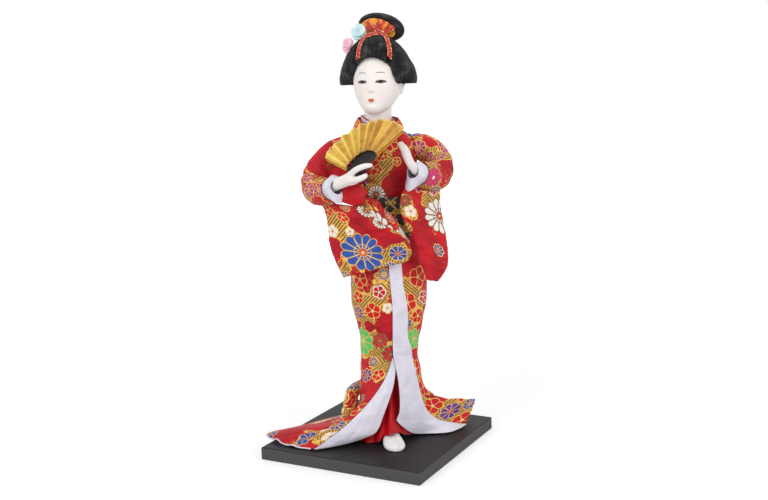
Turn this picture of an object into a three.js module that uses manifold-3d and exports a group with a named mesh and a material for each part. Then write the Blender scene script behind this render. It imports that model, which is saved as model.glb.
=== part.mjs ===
// A dressed figure of a woman with a folding fan, standing on a square board.
// Millimetres, +Z up. The origin is the centre of the board's underside and the
// board's edges run along X and Y. The figure has a frame of its own: its feet
// are on z = 0, it faces -Y, and the whole of it is turned on the board.

import * as THREE from 'three';
import { mergeVertices } from 'three/addons/utils/BufferGeometryUtils.js';
import Module from 'manifold-3d';

const wasm = await Module();
wasm.setup();

// Driving dimensions
const BOARD_SIDE = 120;
const BOARD_HEIGHT = 8.8;
const BOARD_EDGE = 0.5;
const FIGURE_X = 7.1;
const FIGURE_Y = 3.8;
const FIGURE_TURN = 28;
const CLEAR = 0.3;
const CUT_TOLERANCE = 0.03;

const CLOTH = 1.0;
const SATIN = 0.8;
const ROD_RADIUS = 1.6;
const ROD_X = 0.5;
const ROD_Y = 6;
const ROD_SEAT = 5;
const ROD_TOP = 125;
const WIRE_RADIUS = 1.1;
const LEG_RADIUS = 3.6;
const FOOT_LENGTH = 38;
const FOOT_WIDTH = 14.5;
const FOOT_HEIGHT = 8.5;

const WAIST_Z = 157;
const KNEE_Z = 58;
const HEM_Z = 0.9;
const OBI_LOW = 141;
const OBI_HIGH = 167.5;
const OBI_WALL = 1.6;

const NECK_X = -2.7;
const NECK_RADIUS = 9.2;
const CHIN_Z = 222.7;
const PLUG_RADIUS = 6;
const PLUG_LENGTH = 16;
const HEAD_TURN = -16.5;

const FAN_PIVOT = [-15.2, -46.2, 186.2];
const FAN_RADIUS = 40;
const FAN_LEAF_START = 16.5;
const FAN_SPREAD = 108;
const FAN_LIFT = 40;
const FAN_LEAN = 53;
const FAN_RIBS = 9;
const STICK_THICK = 0.4;
const STICK_GAP = 0.15;
const STICK_SHORT = 2;
const RIB_WIDTH = 2.34;
const GUARD_WIDTH = 3;
const STICK_HEEL = 2.7;
const LEAF_THICK = 0.4;
const PLEAT_DEPTH = 2;
const RIVET_RADIUS = 0.6;
const RIVET_HEAD = 1.2;
const RIVET_CAP = 0.5;

const rad = (degrees) => degrees * Math.PI / 180;
const mix = (a, b, t) => a + (b - a) * t;
const vec = (p) => new THREE.Vector3(p[0], p[1], p[2]);
const mix3 = (p, q, t) => [mix(p[0], q[0], t), mix(p[1], q[1], t), mix(p[2], q[2], t)];

// Smooth values between the rows of a table whose first column rises
function smooth(table, x) {
  const last = table.length - 1;
  let i = 0;
  while (i < last - 1 && x > table[i + 1][0]) {
    i += 1;
  }
  const p1 = table[i];
  const p2 = table[i + 1];
  const p0 = table[Math.max(i - 1, 0)];
  const p3 = table[Math.min(i + 2, last)];
  const step = p2[0] - p1[0];
  const t = Math.min(Math.max((x - p1[0]) / step, 0), 1);
  return p1.slice(1).map((v1, k) => {
    const v2 = p2[k + 1];
    const m1 = (v2 - p0[k + 1]) / (p2[0] - p0[0]) * step;
    const m2 = (p3[k + 1] - v1) / (p3[0] - p1[0]) * step;
    return (2 * t ** 3 - 3 * t ** 2 + 1) * v1 + (t ** 3 - 2 * t ** 2 + t) * m1
      + (3 * t ** 2 - 2 * t ** 3) * v2 + (t ** 3 - t ** 2) * m2;
  });
}

// Geometry from points and triangles, turned so that its faces point out
function body(points, faces) {
  const geometry = new THREE.BufferGeometry();
  let volume = 0;
  for (const [a, b, c] of faces) {
    volume += points[a].dot(points[b].clone().cross(points[c]));
  }
  const index = faces.flatMap(([a, b, c]) => (volume < 0 ? [a, c, b] : [a, b, c]));
  const numbers = points.flatMap((p) => p.toArray());
  geometry.setAttribute('position', new THREE.Float32BufferAttribute(numbers, 3));
  geometry.setIndex(index);
  return geometry;
}

// A closed body through rings of points, with a flat fan over each end
function loft(rings) {
  const n = rings[0].length;
  const points = rings.flat();
  const faces = [];
  for (let i = 0; i < rings.length - 1; i += 1) {
    for (let j = 0; j < n; j += 1) {
      const a = i * n + j;
      const b = i * n + (j + 1) % n;
      faces.push([a, b, b + n], [a, b + n, a + n]);
    }
  }
  for (const end of [0, rings.length - 1]) {
    const centre = new THREE.Vector3();
    rings[end].forEach((p) => centre.addScaledVector(p, 1 / n));
    points.push(centre);
    for (let j = 0; j < n; j += 1) {
      const a = end * n + j;
      const b = end * n + (j + 1) % n;
      faces.push(end === 0 ? [points.length - 1, b, a] : [points.length - 1, a, b]);
    }
  }
  return body(points, faces);
}

// A sheet with thickness over a grid of points; round is true for a closed tube.
// The thickness is a number or a function of the two shares of the grid.
function sheet(pointAt, columns, rows, thickness, round = false) {
  const across = round ? columns : columns + 1;
  const grid = [];
  for (let i = 0; i < across; i += 1) {
    grid.push([]);
    for (let j = 0; j <= rows; j += 1) {
      grid[i].push(vec(pointAt(i / columns, j / rows)));
    }
  }
  const near = (i) => (round ? (i + across) % across : Math.min(Math.max(i, 0), across - 1));
  const points = [];
  for (const side of [0.5, -0.5]) {
    for (let i = 0; i < across; i += 1) {
      for (let j = 0; j <= rows; j += 1) {
        const along = grid[near(i + 1)][j].clone().sub(grid[near(i - 1)][j]);
        const down = grid[i][Math.min(j + 1, rows)].clone().sub(grid[i][Math.max(j - 1, 0)]);
        const normal = along.cross(down).normalize();
        const thick = typeof thickness === 'function' ? thickness(i / columns, j / rows) : thickness;
        points.push(grid[i][j].clone().addScaledVector(normal, side * thick));
      }
    }
  }
  const at = (side, i, j) => side * across * (rows + 1) + near(i) * (rows + 1) + j;
  const faces = [];
  const quad = (a, b, c, d) => faces.push([a, b, c], [a, c, d]);
  for (let i = 0; i < columns; i += 1) {
    for (let j = 0; j < rows; j += 1) {
      quad(at(0, i, j), at(0, i, j + 1), at(0, i + 1, j + 1), at(0, i + 1, j));
      quad(at(1, i, j), at(1, i + 1, j), at(1, i + 1, j + 1), at(1, i, j + 1));
    }
    quad(at(0, i, 0), at(0, i + 1, 0), at(1, i + 1, 0), at(1, i, 0));
    quad(at(0, i, rows), at(1, i, rows), at(1, i + 1, rows), at(0, i + 1, rows));
  }
  if (!round) {
    for (let j = 0; j < rows; j += 1) {
      quad(at(0, 0, j), at(1, 0, j), at(1, 0, j + 1), at(0, 0, j + 1));
      quad(at(0, columns, j), at(0, columns, j + 1), at(1, columns, j + 1), at(1, columns, j));
    }
  }
  return body(points, faces);
}

// Rings of an oval tube along a path; stations are [t, half width, half height]
function tubeRings(path, stations, sides, steps) {
  const upright = new THREE.Vector3(0, 0, 1);
  const rings = [];
  for (let i = 0; i <= steps; i += 1) {
    const t = i / steps;
    const centre = path.getPoint(t);
    const ahead = path.getTangent(t);
    const side = new THREE.Vector3().crossVectors(ahead, upright).normalize();
    const up = new THREE.Vector3().crossVectors(side, ahead);
    const [wide, high] = smooth(stations, t);
    const ring = [];
    for (let j = 0; j < sides; j += 1) {
      const angle = 2 * Math.PI * j / sides;
      ring.push(centre.clone()
        .addScaledVector(side, wide * Math.cos(angle))
        .addScaledVector(up, high * Math.sin(angle)));
    }
    rings.push(ring);
  }
  return rings;
}

const curve = (points) => new THREE.CatmullRomCurve3(points.map(vec), false, 'centripetal');

// A round wire or cord along a path
function wire(points, radius, steps, sides) {
  const section = new THREE.Shape();
  section.absarc(0, 0, radius, 0, 2 * Math.PI);
  return new THREE.ExtrudeGeometry(section, {
    steps, bevelEnabled: false, extrudePath: curve(points), curveSegments: sides,
  });
}

// Cutting and joining
function solid(geometry) {
  const bare = geometry.clone();
  bare.deleteAttribute('normal');
  bare.deleteAttribute('uv');
  const merged = mergeVertices(bare, 1e-4);
  return new wasm.Manifold(new wasm.Mesh({
    numProp: 3,
    vertProperties: new Float32Array(merged.attributes.position.array),
    triVerts: new Uint32Array(merged.index.array),
  }));
}

function geometryOf(manifold) {
  const mesh = manifold.simplify(CUT_TOLERANCE).getMesh();
  const geometry = new THREE.BufferGeometry();
  geometry.setAttribute('position', new THREE.BufferAttribute(new Float32Array(mesh.vertProperties), 3));
  geometry.setIndex(new THREE.BufferAttribute(new Uint32Array(mesh.triVerts), 1));
  return geometry;
}

const moved = (geometry, x, y, z) => geometry.translate(x, y, z);
const box = (w, d, h, x, y, z) => solid(moved(new THREE.BoxGeometry(w, d, h), x, y, z));

function ellipsoid(a, b, c, x, y, z, sides = 28, rows = 16) {
  const ball = new THREE.SphereGeometry(1, sides, rows);
  ball.rotateX(Math.PI / 2);
  ball.scale(a, b, c);
  return solid(moved(ball, x, y, z));
}

function rod(radius, length, x, y, z, sides = 20) {
  const geometry = new THREE.CylinderGeometry(radius, radius, length, sides);
  geometry.rotateX(Math.PI / 2);
  return moved(geometry, x, y, z + length / 2);
}

// Groups and materials
const object = new THREE.Group();
const figure = new THREE.Group();
figure.position.set(FIGURE_X, FIGURE_Y, BOARD_HEIGHT);
figure.rotation.z = rad(FIGURE_TURN);
object.add(figure);
const head = new THREE.Group();
head.position.set(NECK_X, 0, 0);
head.rotation.z = rad(HEAD_TURN);
figure.add(head);

const LOOKS = {
  board: [0x333134, 0.45, 0],
  steel: [0xa8a8a4, 0.35, 1],
  foam: [0xe9e2cf, 0.9, 0],
  skin: [0xe6dcd8, 0.35, 0],
  hair: [0x18181b, 0.3, 0],
  brocade: [0xc0262e, 0.6, 0],
  redSatin: [0xb80818, 0.35, 0],
  whiteSatin: [0xe4e1ea, 0.45, 0],
  obi: [0x1c1812, 0.5, 0],
  gold: [0xd9ad3c, 0.35, 0.3],
  lacquer: [0x201f22, 0.3, 0],
  hairCloth: [0xd68f18, 0.5, 0],
  ribbon: [0xe05028, 0.5, 0],
  blue: [0xbfe0e2, 0.5, 0],
  pink: [0xeaabc2, 0.5, 0],
  tabi: [0xf2f0ee, 0.6, 0],
};

function add(name, geometry, look, parent = figure) {
  const [color, roughness, metalness] = LOOKS[look];
  const mesh = new THREE.Mesh(geometry, new THREE.MeshStandardMaterial({ color, roughness, metalness }));
  mesh.name = name;
  parent.add(mesh);
  return mesh;
}

// Board, with the blind hole that holds the support rod
function board() {
  const half = BOARD_SIDE / 2 - BOARD_EDGE;
  const outline = new THREE.Shape();
  outline.moveTo(-half, -half);
  outline.lineTo(half, -half);
  outline.lineTo(half, half);
  outline.lineTo(-half, half);
  outline.closePath();
  const block = new THREE.ExtrudeGeometry(outline, {
    depth: BOARD_HEIGHT - 2 * BOARD_EDGE,
    bevelSize: BOARD_EDGE,
    bevelThickness: BOARD_EDGE,
    bevelSegments: 1,
  });
  moved(block, 0, 0, BOARD_EDGE);
  const turn = rad(FIGURE_TURN);
  const x = FIGURE_X + ROD_X * Math.cos(turn) - ROD_Y * Math.sin(turn);
  const y = FIGURE_Y + ROD_X * Math.sin(turn) + ROD_Y * Math.cos(turn);
  const hole = rod(ROD_RADIUS + CLEAR, 2 * ROD_SEAT, x, y, BOARD_HEIGHT - ROD_SEAT - CLEAR);
  return geometryOf(solid(block).subtract(solid(hole)));
}
add('base_board', board(), 'board', object);

// Point on an oval body table at an angle from the front; positive is the wearer's right.
// Rows are [z, half width, half depth, centre x, centre y]
function around(table, z, degrees, offset = 0) {
  const [a, b, cx, cy] = smooth(table, z);
  return [cx - (a + offset) * Math.sin(rad(degrees)), cy - (b + offset) * Math.cos(rad(degrees)), z];
}

const CORE = [
  [58, 11.5, 10.5, 0.5, 0], [85, 17, 14, 0.8, 0], [110, 21, 16.5, 1, 0], [130, 19, 14.6, 1.2, 0],
  [150, 16.5, 12.6, 1.5, 0], [170, 17, 13, 1.5, 0], [190, 20, 13.6, 1.2, 0], [202, 20.6, 12.6, 0.3, 0],
  [208, 17.4, 11.2, -1.2, 0], [213, 10.6, 9.8, -2.7, 0],
];
const CORE_TOP = 213;

add('support_rod', rod(ROD_RADIUS, ROD_SEAT + ROD_TOP, ROD_X, ROD_Y, -ROD_SEAT), 'steel');

// Feet in split-toed socks, and the legs that stand in them.
// Rows are [t from toe to heel, half width share, height share, sideways share]
const FOOT_FORM = [
  [0, 0.28, 0.3, 0.1], [0.06, 0.74, 0.46, 0.06], [0.2, 0.98, 0.62, 0.02], [0.4, 0.9, 0.86, 0],
  [0.62, 0.72, 1, 0], [0.85, 0.66, 0.98, 0], [1, 0.42, 0.9, 0],
];

function foot(side) {
  const rings = [];
  for (let i = 0; i <= 8; i += 1) {
    const t = (i / 8) ** 1.3;
    const [wide, high, shift] = smooth(FOOT_FORM, t);
    const ring = [];
    for (let j = 0; j < 12; j += 1) {
      const angle = 2 * Math.PI * j / 12;
      const lift = Math.max(Math.sin(angle), -0.55);
      ring.push(new THREE.Vector3(
        FOOT_WIDTH / 2 * (wide * Math.cos(angle) + side * shift),
        FOOT_LENGTH * t,
        CLEAR + FOOT_HEIGHT * high * (lift + 0.55) / 1.55,
      ));
    }
    rings.push(ring);
  }
  const split = box(0.8, 11, FOOT_HEIGHT, side * FOOT_WIDTH * 0.2, 2, FOOT_HEIGHT * 0.52);
  return solid(loft(rings)).subtract(split);
}

const FEET = {
  right: { toe: [2.6, -42.6], turn: 8, hip: [-5.5, -1, 64], side: 1, ankle: 0.72 },
  left: { toe: [11.5, -9], turn: 5, hip: [7.2, -1.5, 64], side: -1, ankle: 0.5 },
};

const footSolids = {};
const coreRooms = [];
for (const [name, place] of Object.entries(FEET)) {
  const turn = rad(place.turn);
  const ankleAt = FOOT_LENGTH * place.ankle;
  const ankle = [
    place.toe[0] - Math.sin(turn) * ankleAt,
    place.toe[1] + Math.cos(turn) * ankleAt,
    FOOT_HEIGHT * 0.5,
  ];
  const hole = solid(wire([ankle, place.hip], WIRE_RADIUS + CLEAR, 1, 4));
  const thigh = [mix3(ankle, place.hip, 0.5), mix3(ankle, place.hip, 1.01)];
  coreRooms.push(solid(wire(thigh, WIRE_RADIUS + CLEAR, 1, 4)));
  const turned = foot(place.side).rotate([0, 0, place.turn]);
  footSolids[name] = turned.translate([...place.toe, 0]);
  add(`${name}_foot`, geometryOf(footSolids[name].subtract(hole)), 'tabi');
  const low = mix3(ankle, place.hip, 0.1);
  const high = mix3(ankle, place.hip, 0.87);
  const pin = solid(wire([ankle, place.hip], WIRE_RADIUS, 1, 4));
  const wrap = solid(wire([low, high], LEG_RADIUS, 1, 5));
  add(`${name}_leg`, geometryOf(pin.add(wrap)), 'foam');
}

// Red satin underskirt. Rows are [share round, degrees, hem x, y, z, straight share, flare power]
const RED_TOP = 118;
const RED_KNEE = 60;
const RED_SPLIT = 0.4;
const RED_TUBE = [
  [60, 13.4, 12.2, 0.5, 0], [85, 18.3, 15.2, 0.8, 0], [110, 22.2, 17.8, 1, 0], [118, 21.8, 17.2, 1.1, 0],
];
const RED_HEM = [
  [0, 0, 1, -33, 10, 0.2, 4], [0.08, 30, -11.5, -25.5, 1, 0.25, 3], [0.17, 60, -22, -18, HEM_Z, 0.25, 3],
  [0.3, 105, -20, 3, HEM_Z, 0.3, 3], [0.42, 150, -9, 22, HEM_Z, 0.3, 3],
  [0.56, 200, 11, 27, HEM_Z, 0.3, 3], [0.72, 255, 22, 8, HEM_Z, 0.3, 3],
  [0.84, 300, 16.5, -9, HEM_Z, 0.3, 3], [0.93, 335, 10, -18, 4, 0.25, 3.5], [1, 360, 1, -33, 10, 0.2, 4],
];

function redSkirt(share, down) {
  const [degrees, x, y, z, straight, power] = smooth(RED_HEM, share);
  if (down < RED_SPLIT) return around(RED_TUBE, mix(RED_TOP, RED_KNEE, down / RED_SPLIT), degrees);
  const drop = 1 - (1 - (down - RED_SPLIT) / (1 - RED_SPLIT)) ** 1.3;
  const out = straight * drop + (1 - straight) * drop ** power;
  const knee = around(RED_TUBE, RED_KNEE, degrees);
  return [mix(knee[0], x, out), mix(knee[1], y, out), mix(RED_KNEE, z, drop)];
}
const footRoom = footSolids.right.scale([1.09, 1.05, 1.09]).translate([0, 1, -0.4]);
const footRoomLeft = footSolids.left.scale([1.06, 1.05, 1.09]).translate([-0.6, 0.4, -0.4]);
add('red_underskirt', geometryOf(
  solid(sheet(redSkirt, 24, 8, SATIN, true)).subtract(footRoom).subtract(footRoomLeft),
), 'redSatin');

// Kimono skirt: an oval tube to the knee, then a train that flares from the front
// folds round the back. Its right front edge runs under the white band.
const SKIRT_TUBE = [
  [58, 19.2, 17.2, 0.4, 0], [67, 19.8, 17.4, 0.7, 0], [75, 21, 17.9, 1.1, 0], [86, 23.9, 19, 1, 0],
  [95, 25.2, 19.8, 1, 0], [110, 25.6, 20, 1, 0], [125, 24, 18.9, 1.2, 0], [141, 19, 15, 1.4, 0],
  [157, 17.6, 13.7, 1.5, 0],
];
const LEFT_FOLD = -5;
const BAND_EDGE = [[58, 44], [65, 36], [73, 28], [87, 25], [100, 21], [110, 17], [157, 15]];
const TRAIN = [
  [0, -5, -52.5, -34.4, HEM_Z, 0.3, 2.25], [0.08, 25, -65.5, -28.5, HEM_Z, 0.22, 3.6],
  [0.17, 52, -79, -17.5, HEM_Z + 0.3, 0.12, 10], [0.25, 78, -86, -7, 3.2, 0.08, 14],
  [0.34, 108, -66, 12, 1.6, 0.08, 12], [0.45, 142, -38, 34, HEM_Z, 0.16, 4.6],
  [0.57, 180, 2, 47, HEM_Z, 0.22, 3.2], [0.69, 216, 37, 38, HEM_Z, 0.18, 4.6],
  [0.8, 250, 54, 25, 6, 0.1, 8], [0.88, 278, 60, 13.5, 17, 0.12, 8],
  [0.94, 298, 56, 11, 7, 0.2, 8], [1, 316, 52.3, 8, HEM_Z, 0.3, 8],
];

const SKIRT_SPLIT = 0.45;
const SKIRT_EASE = 1.7;
const SKIRT_FOLD = 8.8;

function skirt(share, down) {
  const [hemDegrees, x, y, z, straight, power] = smooth(TRAIN, share);
  const height = mix(WAIST_Z, KNEE_Z, Math.min(down / SKIRT_SPLIT, 1));
  const [edge] = smooth(BAND_EDGE, height);
  const reach = (360 - edge - LEFT_FOLD) / (TRAIN[TRAIN.length - 1][1] - LEFT_FOLD);
  const knee = around(SKIRT_TUBE, height, LEFT_FOLD + (hemDegrees - LEFT_FOLD) * reach);
  if (down <= SKIRT_SPLIT) return knee;
  const drop = 1 - (1 - (down - SKIRT_SPLIT) / (1 - SKIRT_SPLIT)) ** SKIRT_EASE;
  const out = straight * drop + (1 - straight) * drop ** power;
  const wave = Math.sin(9 * Math.PI * share) * Math.sin(Math.PI * share) ** 2;
  const fold = SKIRT_FOLD * wave * out * (1 - out);
  return [mix(knee[0], x, out) + fold, mix(knee[1], y, out) + fold, mix(KNEE_Z, z, drop)];
}
add('kimono_skirt', sheet(skirt, 28, 14, CLOTH), 'brocade');

// White lining turned out along the front edges. Each is ruled from the fold, where it
// meets the brocade, to its free edge; rows are [share down, x, y, z]
const APEX = [0, 2.6, -18.1, 57.5];
const LEFT_FREE = [
  APEX, [0.1, 4.1, -18.5, 53], [0.26, 2.3, -21, 40], [0.4, -1.3, -23.4, 29.6], [0.5, -4.8, -25, 21],
  [0.62, -9.5, -27, 10.4], [0.7, -14.5, -27.8, 7], [0.8, -27.4, -28.6, 3], [0.9, -40, -32, 1.6],
  [1, -51.5, -35.4, 1.2],
];
const FACING_GAP = (CLOTH + SATIN) / 2 + CLEAR;

function leftFacing(share, down) {
  const free = smooth(LEFT_FREE, down);
  const fold = skirt(0, mix(SKIRT_SPLIT, 1, down));
  const under = [fold[0] + 0.2, fold[1] - FACING_GAP, fold[2] + 0.35];
  const belly = 1.2 * Math.sin(Math.PI * share) * Math.sin(Math.PI * down);
  const line = mix3(under, free, share);
  return [line[0], line[1] - belly, line[2]];
}
add('lining_right_front', sheet(leftFacing, 3, 12, SATIN), 'whiteSatin');

const BAND_TOP = 136;
const BAND_TURN = 0.52;
const BAND_CORNER = 0.87;
const BAND_FREE = [
  [0, 1.2, -20, BAND_TOP], [0.12, 1.6, -20, 119], [0.3, 3, -20, 93], [0.42, 2.7, -19.6, 77],
  [BAND_TURN, 2.5, -19.4, 62], [0.62, 5.1, -20.9, 47], [0.72, 6.3, -22, 34.5], [0.82, 6, -23.6, 22],
  [BAND_CORNER, 3.6, -24.4, 16],
];
const BAND_HEM = [
  [0, 3.6, -24.4, 16], [0.1, 6.8, -22.6, 11.5], [0.25, 13.5, -16.5, 4.4], [0.5, 22.5, -11, 1.4],
  [0.75, 39.3, -9.6, 1.2], [0.9, 48, -2, 1.2], [1, 53.6, 6.6, 1.3],
];

function band(share, down) {
  const free = smooth(BAND_FREE, Math.min(down, BAND_CORNER));
  if (down < BAND_TURN) {
    const [edge] = smooth(BAND_EDGE, free[2]);
    const tube = smooth(SKIRT_TUBE, free[2]);
    const from = Math.asin((free[0] - tube[2]) / tube[0]) * 180 / Math.PI;
    const lap = Math.min(Math.max((85 - free[2]) / 20, 0), 1);
    return around(SKIRT_TUBE, free[2], -mix(from, edge + 4, share), FACING_GAP + lap);
  }
  const t = (down - BAND_TURN) / (1 - BAND_TURN);
  const fold = skirt(1, mix(SKIRT_SPLIT, 1, t));
  const line = mix3(free, [fold[0] + 0.6 + 1.1 * (1 - t), fold[1] - 1.3, fold[2] + 0.3], share);
  const pull = Math.max(0, (down - BAND_CORNER) / (1 - BAND_CORNER));
  return mix3(line, smooth(BAND_HEM, share), pull);
}
add('lining_left_front', sheet(band, 7, 18, SATIN), 'whiteSatin');

// Padded hem roll, which lies on the skirt: it climbs beside the left knee and runs
// behind it down to the right. Rows are [share along, share round the skirt, height, radius]
const ROLL = [
  [0, 0.21, 10.5, 4.2], [0.12, 0.225, 18, 5], [0.28, 0.27, 27, 4.8], [0.45, 0.38, 28, 4.4],
  [0.65, 0.55, 25, 4], [0.85, 0.72, 15, 3.6], [1, 0.8, 11, 2.6],
];
const ROLL_ROUND = 10;
const ROLL_STEPS = 22;

function onSkirt(share, height) {
  const low = smooth(TRAIN, share)[3];
  const drop = (KNEE_Z - height) / (KNEE_Z - low);
  const down = SKIRT_SPLIT + (1 - SKIRT_SPLIT) * (1 - (1 - drop) ** (1 / SKIRT_EASE));
  const point = vec(skirt(share, down));
  const along = vec(skirt(share + 0.02, down)).sub(vec(skirt(share - 0.02, down)));
  const fall = vec(skirt(share, down + 0.02)).sub(vec(skirt(share, down - 0.02)));
  return { point, normal: along.cross(fall).normalize() };
}

function hemRoll() {
  const centres = [];
  for (let i = 0; i <= ROLL_STEPS; i += 1) {
    const [share, height, radius] = smooth(ROLL, i / ROLL_STEPS);
    const { point, normal } = onSkirt(share, height);
    centres.push(point.addScaledVector(normal, radius + CLOTH / 2 + CLEAR + 0.3).toArray());
  }
  const radii = ROLL.map((row) => [row[0], row[3], row[3]]);
  return loft(tubeRings(curve(centres), radii, ROLL_ROUND, ROLL_STEPS));
}

// Bodice, an oval tube over the core with a dip for the collar at the front
const BODICE_LOW = 160;
const BODICE_HIGH = 211.6;
const BODICE_OUT = CLEAR + CLOTH / 2 + 0.35;
const NECK_DIP = 7;

function bodice(share, up) {
  const degrees = 360 * share;
  const top = BODICE_HIGH - NECK_DIP * Math.max(0, Math.cos(rad(degrees))) ** 6;
  return around(CORE, mix(BODICE_LOW, top, up), degrees, BODICE_OUT);
}

// Collars: the white one winds once round the neck, the brocade one comes up from the
// obi, goes round the neck and crosses itself on the chest
const COLLAR_SATIN = 0.6;
const COLLAR_BASE = CORE_TOP + CLEAR;
const COLLAR_HEIGHT = 7.5;
const COLLAR_DIP = 4.6;
const COLLAR_LAP = 24;

function underCollar(share, up) {
  const degrees = mix(-COLLAR_LAP, 360 + COLLAR_LAP, share);
  const height = COLLAR_HEIGHT - COLLAR_DIP * Math.max(0, Math.cos(rad(degrees))) ** 2;
  const radius = NECK_RADIUS + 0.45 + COLLAR_SATIN / 2 + share + 1.2 * up * height / COLLAR_HEIGHT;
  return [
    NECK_X - radius * Math.sin(rad(degrees)),
    -radius * Math.cos(rad(degrees)),
    COLLAR_BASE + height * up,
  ];
}
add('under_collar', sheet(underCollar, 28, 1, COLLAR_SATIN), 'whiteSatin');

const PIPING_RADIUS = 0.35;
const pipingPoints = [];
for (let i = 0; i <= 16; i += 1) {
  const p = underCollar(i / 16, 1);
  pipingPoints.push([p[0], p[1], p[2] + PIPING_RADIUS + CLEAR]);
}
add('collar_piping', wire(pipingPoints, PIPING_RADIUS, 22, 2), 'redSatin');

const CHEST = [
  ...CORE.filter((row) => row[0] < 212), [213, 11.6, 11.4, -2.7, 0], [222, 12, 12, -2.7, 0],
];
const COLLAR_THICK = 1.2;
const COLLAR_WIDTH = 6.4;
const COLLAR_OUT = 3.2;
const COLLAR_RISE = 1.7;
const COLLAR_LEAN = 3;
// Rows are [share along, degrees, height of the middle]
const COLLAR_PATH = [
  [0, -5, 202.5], [0.1, 20, 208], [0.22, 66, 215.2], [0.42, 180, 217], [0.6, 294, 215.2],
  [0.7, 340, 208], [0.78, 364, 201], [1, 392, 178.5],
];

function kimonoCollar(share, across) {
  const centre = (t) => {
    const [degrees, z] = smooth(COLLAR_PATH, Math.min(Math.max(t, 0), 1));
    return vec(around(CHEST, z, degrees, COLLAR_OUT + COLLAR_RISE * t));
  };
  const [degrees] = smooth(COLLAR_PATH, share);
  const ahead = centre(share + 0.01).sub(centre(share - 0.01)).normalize();
  const outward = new THREE.Vector3(-Math.sin(rad(degrees)), -Math.cos(rad(degrees)), 0);
  const side = new THREE.Vector3().crossVectors(outward, ahead).normalize();
  const down = across - 0.5;
  const middle = centre(share).addScaledVector(side, down * COLLAR_WIDTH);
  return middle.addScaledVector(outward, down * COLLAR_LEAN).toArray();
}
add('kimono_collar', sheet(kimonoCollar, 32, 1, COLLAR_THICK), 'brocade');

// Obi, its cord and the drum knot on the back
const OBI = [[OBI_LOW, 20.8, 16.9, 1.4, 0], [157, 19.9, 16, 1.5, 0], [OBI_HIGH, 20.1, 16.1, 1.5, 0]];
const obi = (share, up) => around(OBI, mix(OBI_LOW, OBI_HIGH, up), 360 * share);
add('obi', sheet(obi, 28, 2, OBI_WALL, true), 'obi');

const OBI_MIDDLE = 157;
const CORD_RADIUS = 0.9;
const [obiWide, obiDeep, obiX] = smooth(OBI, OBI_MIDDLE);
const cordReach = OBI_WALL / 2 + CLEAR + CORD_RADIUS;
const cord = new THREE.TorusGeometry(obiWide + cordReach, CORD_RADIUS, 5, 24);
cord.scale(1, (obiDeep + cordReach + 0.1) / (obiWide + cordReach), 1);
add('obi_cord', moved(cord, obiX, 0, OBI_MIDDLE), 'gold');

const KNOT = { width: 32, height: 30, depth: 11 };
function obiKnot() {
  const back = obiDeep + cordReach + CORD_RADIUS + 0.4;
  const shape = new THREE.Shape();
  shape.moveTo(back, 0);
  const out = back + KNOT.depth * 1.25;
  shape.bezierCurveTo(out, 0, out, KNOT.height, back, KNOT.height);
  shape.closePath();
  const drum = new THREE.ExtrudeGeometry(shape, {
    depth: KNOT.width - 2,
    bevelSize: 1,
    bevelThickness: 1,
    bevelSegments: 1,
    bevelOffset: -1,
    curveSegments: 12,
  });
  drum.rotateX(Math.PI / 2);
  drum.rotateZ(Math.PI / 2);
  return moved(drum, obiX - KNOT.width / 2 + 1, 0, OBI_LOW + 4);
}
add('obi_knot', obiKnot(), 'obi');

// Arms: each sleeve is a puffed tube over the bent arm, joined to a hanging bag.
// The tables of the bags are [share down, x, y, z] for their left and right edges
const SLEEVE_WALL = 1;
const BAG_MIDDLE = 5;
const BAG_EDGE = 1.4;
const BAG_BELLY = 2;
const CUFF_WALL = 0.8;
const FOREARM = 3.6;

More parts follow.
